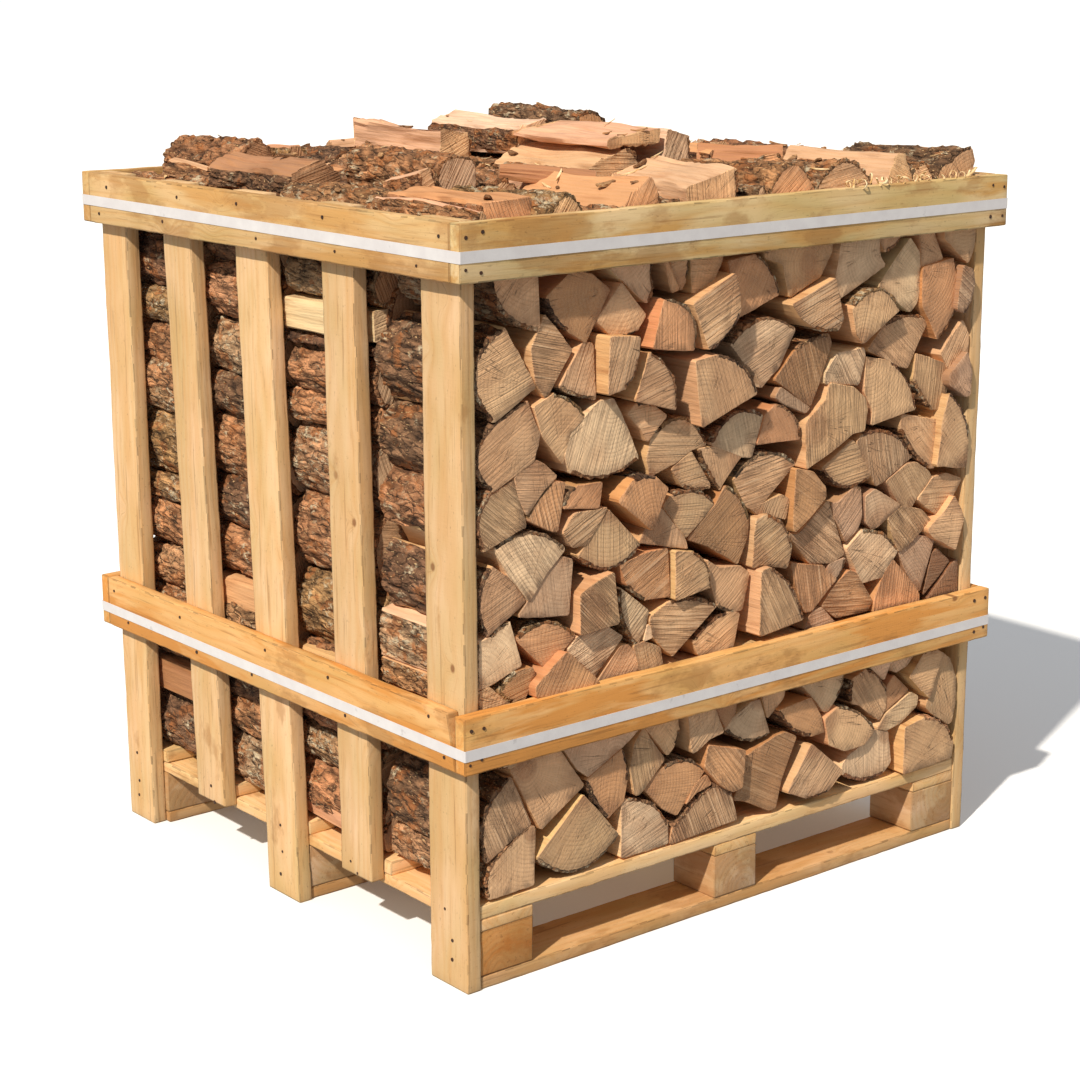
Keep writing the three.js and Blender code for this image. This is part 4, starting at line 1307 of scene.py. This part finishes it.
# A slab that curls up at both ends and narrows towards them
def slabTree(name, material, columns, rough):
    inputs = [("Thickness", "NodeSocketFloat", 0.1), ("Curl", "NodeSocketFloat", 0.5),
              ("Taper", "NodeSocketFloat", 0.6)]
    tree, given, result = startScatter(name, inputs)
    size = joined(tree, 1.0, 1.0, given["Thickness"])
    slab = addNode(tree, "GeometryNodeMeshCube", {"Size": size, "Vertices X": columns, "Vertices Y": 3,
                                                  "Vertices Z": 2}).outputs["Mesh"]
    place = addNode(tree, "GeometryNodeInputPosition").outputs[0]
    parts = parted(tree, place)
    square = times(tree, parts[0], parts[0])
    narrow = minus(tree, 1.0, times(tree, square, times(tree, given["Taper"], 4.0)))
    lifted = plus(tree, parts[2], times(tree, square, given["Curl"]))
    moved = joined(tree, parts[0], times(tree, parts[1], narrow), lifted)
    shaped = addNode(tree, "GeometryNodeSetPosition", {"Geometry": slab, "Position": moved}).outputs[0]
    endScatter(tree, given, result, shaped, material, rough)
    return tree


# A thin strip wound into an open curl, as a plane or a saw leaves it
def curlTree():
    inputs = [("Turns", "NodeSocketFloat", 0.8), ("Width", "NodeSocketFloat", 0.35),
              ("Rise", "NodeSocketFloat", 0.5)]
    tree, given, result = startScatter("curls", inputs)
    spiral = addNode(tree, "GeometryNodeCurveSpiral", {
        "Resolution": 9, "Rotations": given["Turns"], "Start Radius": 1.0, "End Radius": 0.55,
        "Height": given["Rise"],
    }).outputs[0]
    stripInputs = {"Width": 0.07, "Height": given["Width"]}
    strip = addNode(tree, "GeometryNodeCurvePrimitiveQuadrilateral", stripInputs).outputs[0]
    sweep = {"Curve": spiral, "Profile Curve": strip, "Fill Caps": True}
    shape = addNode(tree, "GeometryNodeCurveToMesh", sweep).outputs[0]
    endScatter(tree, given, result, shape, shaving)
    return tree


def scatter(name, tree, marks, settings):
    mesh = bpy.data.meshes.new(name)
    mesh.from_pydata([mark[0] for mark in marks], [], [])
    for label, index, kind in (("aim", 1, "FLOAT_VECTOR"), ("size", 3, "FLOAT_VECTOR")):
        layer = mesh.attributes.new(label, kind, "POINT")
        layer.data.foreach_set("vector", [value for mark in marks for value in mark[index]])
    mesh.attributes.new("spin", "FLOAT", "POINT").data.foreach_set("value", [mark[2] for mark in marks])
    made = bpy.data.objects.new(name, mesh)
    bpy.context.collection.objects.link(made)
    modifier = made.modifiers.new("scatter", "NODES")
    modifier.node_group = tree
    for item in tree.interface.items_tree:
        if item.in_out == "INPUT" and item.name in settings:
            modifier[item.identifier] = settings[item.name]
    ready = made.evaluated_get(bpy.context.evaluated_depsgraph_get())
    made.data = bpy.data.meshes.new_from_object(ready)
    made.modifiers.clear()
    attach(made, "root")
    print(name, len(made.data.polygons), "faces")
    return made


nailValues = {
    "Head Radius": 0.0027,
    "Head Height": 0.0022,
    "Sides": 10,
    "edge": 0.018,  # from the board's edge
    "lean": 0.1,
    "sunk": 0.0017,
    "blockHeights": (0.04, 0.075, 0.123),
    "stringerHeights": (0.108, 0.125),
}


# Two nails through the band at every plank it crosses, and three at each end of the boards across the front
def nailPlaces(values):
    dice = random.Random(7)
    edge, lean = values["edge"], values["lean"]
    places = []

    def nailAt(x, y, z, aim):
        size = dice.uniform(0.85, 1.15)
        leant = [part + dice.uniform(-lean, lean) for part in aim]
        places.append(((x, y, z), leant, dice.uniform(0, fullTurn), (size, size, size)))

    for band in ("top", "middle"):
        for side, out in (("left", -1), ("right", 1)):
            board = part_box(f"{band}_board_{side}")
            face = board[0].x if out < 0 else board[1].x
            for place in ("front", "second", "middle", "fourth", "back"):
                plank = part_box(f"wall_plank_{side}_{place}")
                centre = (plank[0].y + plank[1].y) / 2
                half = (plank[1].y - plank[0].y) * 0.2
                flip = dice.choice((-1, 1))
                for height, across in ((board[0].z + edge, half * flip), (board[1].z - edge, -half * flip)):
                    nailAt(face, centre + across + dice.uniform(-0.01, 0.01),
                           height + dice.uniform(-0.004, 0.004), (out, 0, 0))
        for side, out in (("front", -1), ("back", 1)):
            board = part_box(f"{band}_board_{side}")
            face = board[0].y if out < 0 else board[1].y
            for end, inward in ((board[0].x, 1), (board[1].x, -1)):
                for height in (board[0].z + edge, board[1].z - edge):
                    nailAt(end + inward * dice.uniform(0.008, 0.014), face,
                           height + dice.uniform(-0.003, 0.003), (0, out, 0))
                    nailAt(end + inward * dice.uniform(0.03, 0.042), face,
                           height + dice.uniform(-0.004, 0.004), (0, out, 0))
    for side, out in (("left", -1), ("right", 1)):
        for place in ("front", "second", "middle", "fourth", "back"):
            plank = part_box(f"wall_plank_{side}_{place}")
            face = plank[0].x if out < 0 else plank[1].x
            reaching = place in ("front", "middle", "back")
            heights = values["blockHeights"] if reaching else values["stringerHeights"]
            for height in heights:
                nailAt(face, plank[0].y + dice.uniform(0.025, 0.06),
                       height + dice.uniform(-0.006, 0.006), (out, 0, 0))
    for row in ("front", "middle", "back"):
        for column in ("left", "middle", "right"):
            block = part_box(f"pallet_block_{row}_{column}")
            for number in range(3):
                x = block[0].x + dice.uniform(0.2, 0.8) * (block[1].x - block[0].x)
                y = block[0].y + dice.uniform(0.2, 0.8) * (block[1].y - block[0].y)
                nailAt(x, y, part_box(f"pallet_runner_{row}")[0].z + values["sunk"], (0, 0, -1))
    for number in range(1, 6):
        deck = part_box(f"pallet_deck_board_{number}")
        for column in ("left", "middle", "right"):
            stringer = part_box(f"pallet_stringer_{column}")
            for share in (0.3, 0.7):
                x = stringer[0].x + share * (stringer[1].x - stringer[0].x)
                nailAt(x, deck[0].y + (1 - share) * 0.1, deck[1].z, (0, 0, 1))
    return places


scatter("nails", nailTree(), nailPlaces(nailValues), nailValues)

# Loose bits lie where a line straight down first meets the heap
litterValues = {
    "bark_chips": {
        "count": 130, "length": (0.008, 0.034), "width": (0.35, 0.7), "columns": 4, "rough": 0.003,
        "Thickness": 0.12, "Curl": 0.22, "Taper": 0.5,
    },
    "splinters": {
        "count": 60, "length": (0.014, 0.05), "width": (0.05, 0.12), "columns": 5, "rough": 0.002,
        "Thickness": 0.035, "Curl": 0.12, "Taper": 0.8,
    },
}


def heapTree():  # a quick way to ask where the heap's surface is
    points, faces = [], []
    for made in bpy.context.scene.objects:
        isPile = made.name.startswith(("split_logs", "top_log", "loose_", "top_board_front"))
        if isPile and "grain" in made.data.attributes:
            start = len(points)
            points += [corner.co.copy() for corner in made.data.vertices]
            faces += [[start + i for i in polygon.vertices] for polygon in made.data.polygons]
    return BVHTree.FromPolygons(points, faces)


heapSurface = heapTree()


# Loose things land above "lowest", where the surface's normal has a z above "steepest"
landing = {"from": 1.5, "lowest": 1.08, "steepest": 0.5, "tip": 0.3, "clearance": 0.002}


def dropOn(x, y, dice):
    hit, normal, _, _ = heapSurface.ray_cast(Vector((x, y, landing["from"])), Vector((0, 0, -1)))
    if hit is None or hit.z < landing["lowest"] or normal.z < landing["steepest"]:
        return None
    tip = landing["tip"]
    tipped = Vector(normal) * 0.6 + Vector((dice.uniform(-tip, tip), dice.uniform(-tip, tip), 0.9))
    return hit + Vector((0, 0, landing["clearance"])), tipped.normalized()


looseValues = {"count": 48, "length": (70, 190), "width": (24, 56), "height": (14, 34), "highest": 1.2}


# Short split pieces lying askew on the heap, each leaning on what is under its two ends
def layLooseSplits(values):
    dice = random.Random(5)
    pile = startPile()
    for number in range(values["count"]):
        x, y = dice.uniform(-0.47, 0.47), dice.uniform(-0.33, 0.44)
        length = dice.uniform(*values["length"])
        turn = dice.choice((0, 0, 0, 70)) + dice.uniform(-28, 28)
        angle = math.radians(turn)
        reach = Vector((-math.sin(angle), math.cos(angle))) * length * mm * 0.45
        front = dropOn(x - reach.x, y - reach.y, dice)
        back = dropOn(x + reach.x, y + reach.y, dice)
        if front is None or back is None or max(front[0].z, back[0].z) > values["highest"]:
            continue
        tilt = math.degrees(math.atan2(back[0].z - front[0].z, 2 * reach.length))
        if abs(tilt) > 14:
            continue
        foot = (front[0].z + back[0].z) / 2 / mm - 4
        width, height = dice.uniform(*values["width"]), dice.uniform(*values["height"])
        left, right = x / mm - width / 2, x / mm + width / 2
        barked = dice.choice((0, 3, 6))
        corners = [(left, foot), (right, foot + dice.uniform(-2, 3), barked),
                   (right - width * dice.uniform(0.05, 0.4), foot + height),
                   (left + width * dice.uniform(0.0, 0.35), foot + height * dice.uniform(0.55, 1),
                    4 - barked if barked < 4 else 0)]
        look = dice.choice(("pale", "tan", "tan", "orange", "brown"))
        barkName = dice.choice(barkNames)
        addLog(pile, corners, y / mm - length / 2, length, look, barkName, 0.7, 900 + number,
               looseDetail, turn, tilt)
    made = pileObject("loose_splits", pile, logMaterials)
    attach(made, "root")


layLooseSplits(looseValues)
heapSurface = heapTree()


def litterPlaces(values, seed):
    dice = random.Random(seed)
    places = []
    halfX, halfY = 0.52, 0.5
    while len(places) < values["count"]:
        x, y = dice.uniform(-halfX, halfX), dice.uniform(-halfY, halfY)
        landed = dropOn(x, y, dice)
        if landed is None:
            continue
        length = dice.uniform(*values["length"])
        width = length * dice.uniform(*values["width"])
        places.append((landed[0], landed[1], dice.uniform(0, fullTurn), (length, width, length)))
    return places


def curlPlaces(values):
    dice = random.Random(23)
    places = []
    for (lowX, highX), (lowY, highY), count in values["patches"]:
        for _ in range(count):
            x, y = dice.uniform(lowX, highX), dice.uniform(lowY, highY)
            landed = dropOn(x, y, dice)
            if landed is None or landed[0].z > values["highest"]:
                continue
            size = dice.uniform(*values["radius"])
            aim = Vector((dice.uniform(-1, 1), dice.uniform(-1, 1), dice.uniform(-0.2, 0.6)))
            stretch = dice.uniform(0.7, 2.2)
            spot = landed[0] + Vector((0, 0, size * 0.3))
            places.append((spot, aim, dice.uniform(0, fullTurn), (size, size * stretch, size)))
    return places


curlValues = {
    "radius": (0.004, 0.010),
    "highest": 1.185,
    "patches": [
        ((0.2, 0.5), (-0.532, -0.498), 46),
        ((-0.18, -0.12), (-0.5, -0.42), 8),
        ((-0.36, -0.3), (-0.5, -0.3), 10),
        ((-0.48, 0.48), (-0.4, 0.3), 20),
    ],
    "Turns": 0.7,
    "Width": 0.4,
    "Rise": 0.7,
}

for number, (litterName, litterMaterial) in enumerate((("bark_chips", looseBark), ("splinters", shaving))):
    values = litterValues[litterName]
    litterTree = slabTree(litterName, litterMaterial, values["columns"], values["rough"])
    scatter(litterName, litterTree, litterPlaces(values, 11 + number), values)
scatter("shavings", curlTree(), curlPlaces(curlValues), curlValues)
print("nails and litter laid")


# Floor, sky and sun

studioValues = {
    "floorSize": 40,
    "floorColour": (0.93, 0.93, 0.93),
    "floorGlow": 0.03,
    "skyColour": (0.93, 0.96, 1.0),
    "skyStrength": 0.46,
    "sunFrom": (-1.0, -0.42, 1.05),
    "sunStrength": 4.4,
    "sunAngle": 1.6,
    "sunColour": (1.0, 0.94, 0.84),
}


def addStudio(values):
    bpy.ops.mesh.primitive_plane_add(size=values["floorSize"])
    floor = bpy.context.active_object
    floor.name = "floor"
    material, tree, shader = startMaterial("pale floor", 0.9)
    shader.inputs["Base Color"].default_value = (*values["floorColour"], 1)
    shader.inputs["Emission Color"].default_value = (1, 1, 1, 1)
    shader.inputs["Emission Strength"].default_value = values["floorGlow"]
    floor.data.materials.append(material)
    floor.visible_diffuse = False
    world = bpy.data.worlds.new("studio")
    bpy.context.scene.world = world
    world.use_nodes = True
    sky = world.node_tree.nodes["Background"]
    sky.inputs["Color"].default_value = (*values["skyColour"], 1)
    # Lights softly, but is seen as plain white
    seen = addNode(world.node_tree, "ShaderNodeLightPath").outputs["Is Camera Ray"]
    strength = mapRange(world.node_tree, seen, 0.0, 1.0, values["skyStrength"], 1.1)
    world.node_tree.links.new(strength, sky.inputs["Strength"])
    sun = bpy.data.lights.new("sun", "SUN")
    sun.energy = values["sunStrength"]
    sun.angle = math.radians(values["sunAngle"])
    sun.color = values["sunColour"]
    lamp = bpy.data.objects.new("sun", sun)
    lamp.rotation_euler = Vector(values["sunFrom"]).to_track_quat("Z", "Y").to_euler()
    bpy.context.collection.objects.link(lamp)


addStudio(studioValues)
print("studio lit")
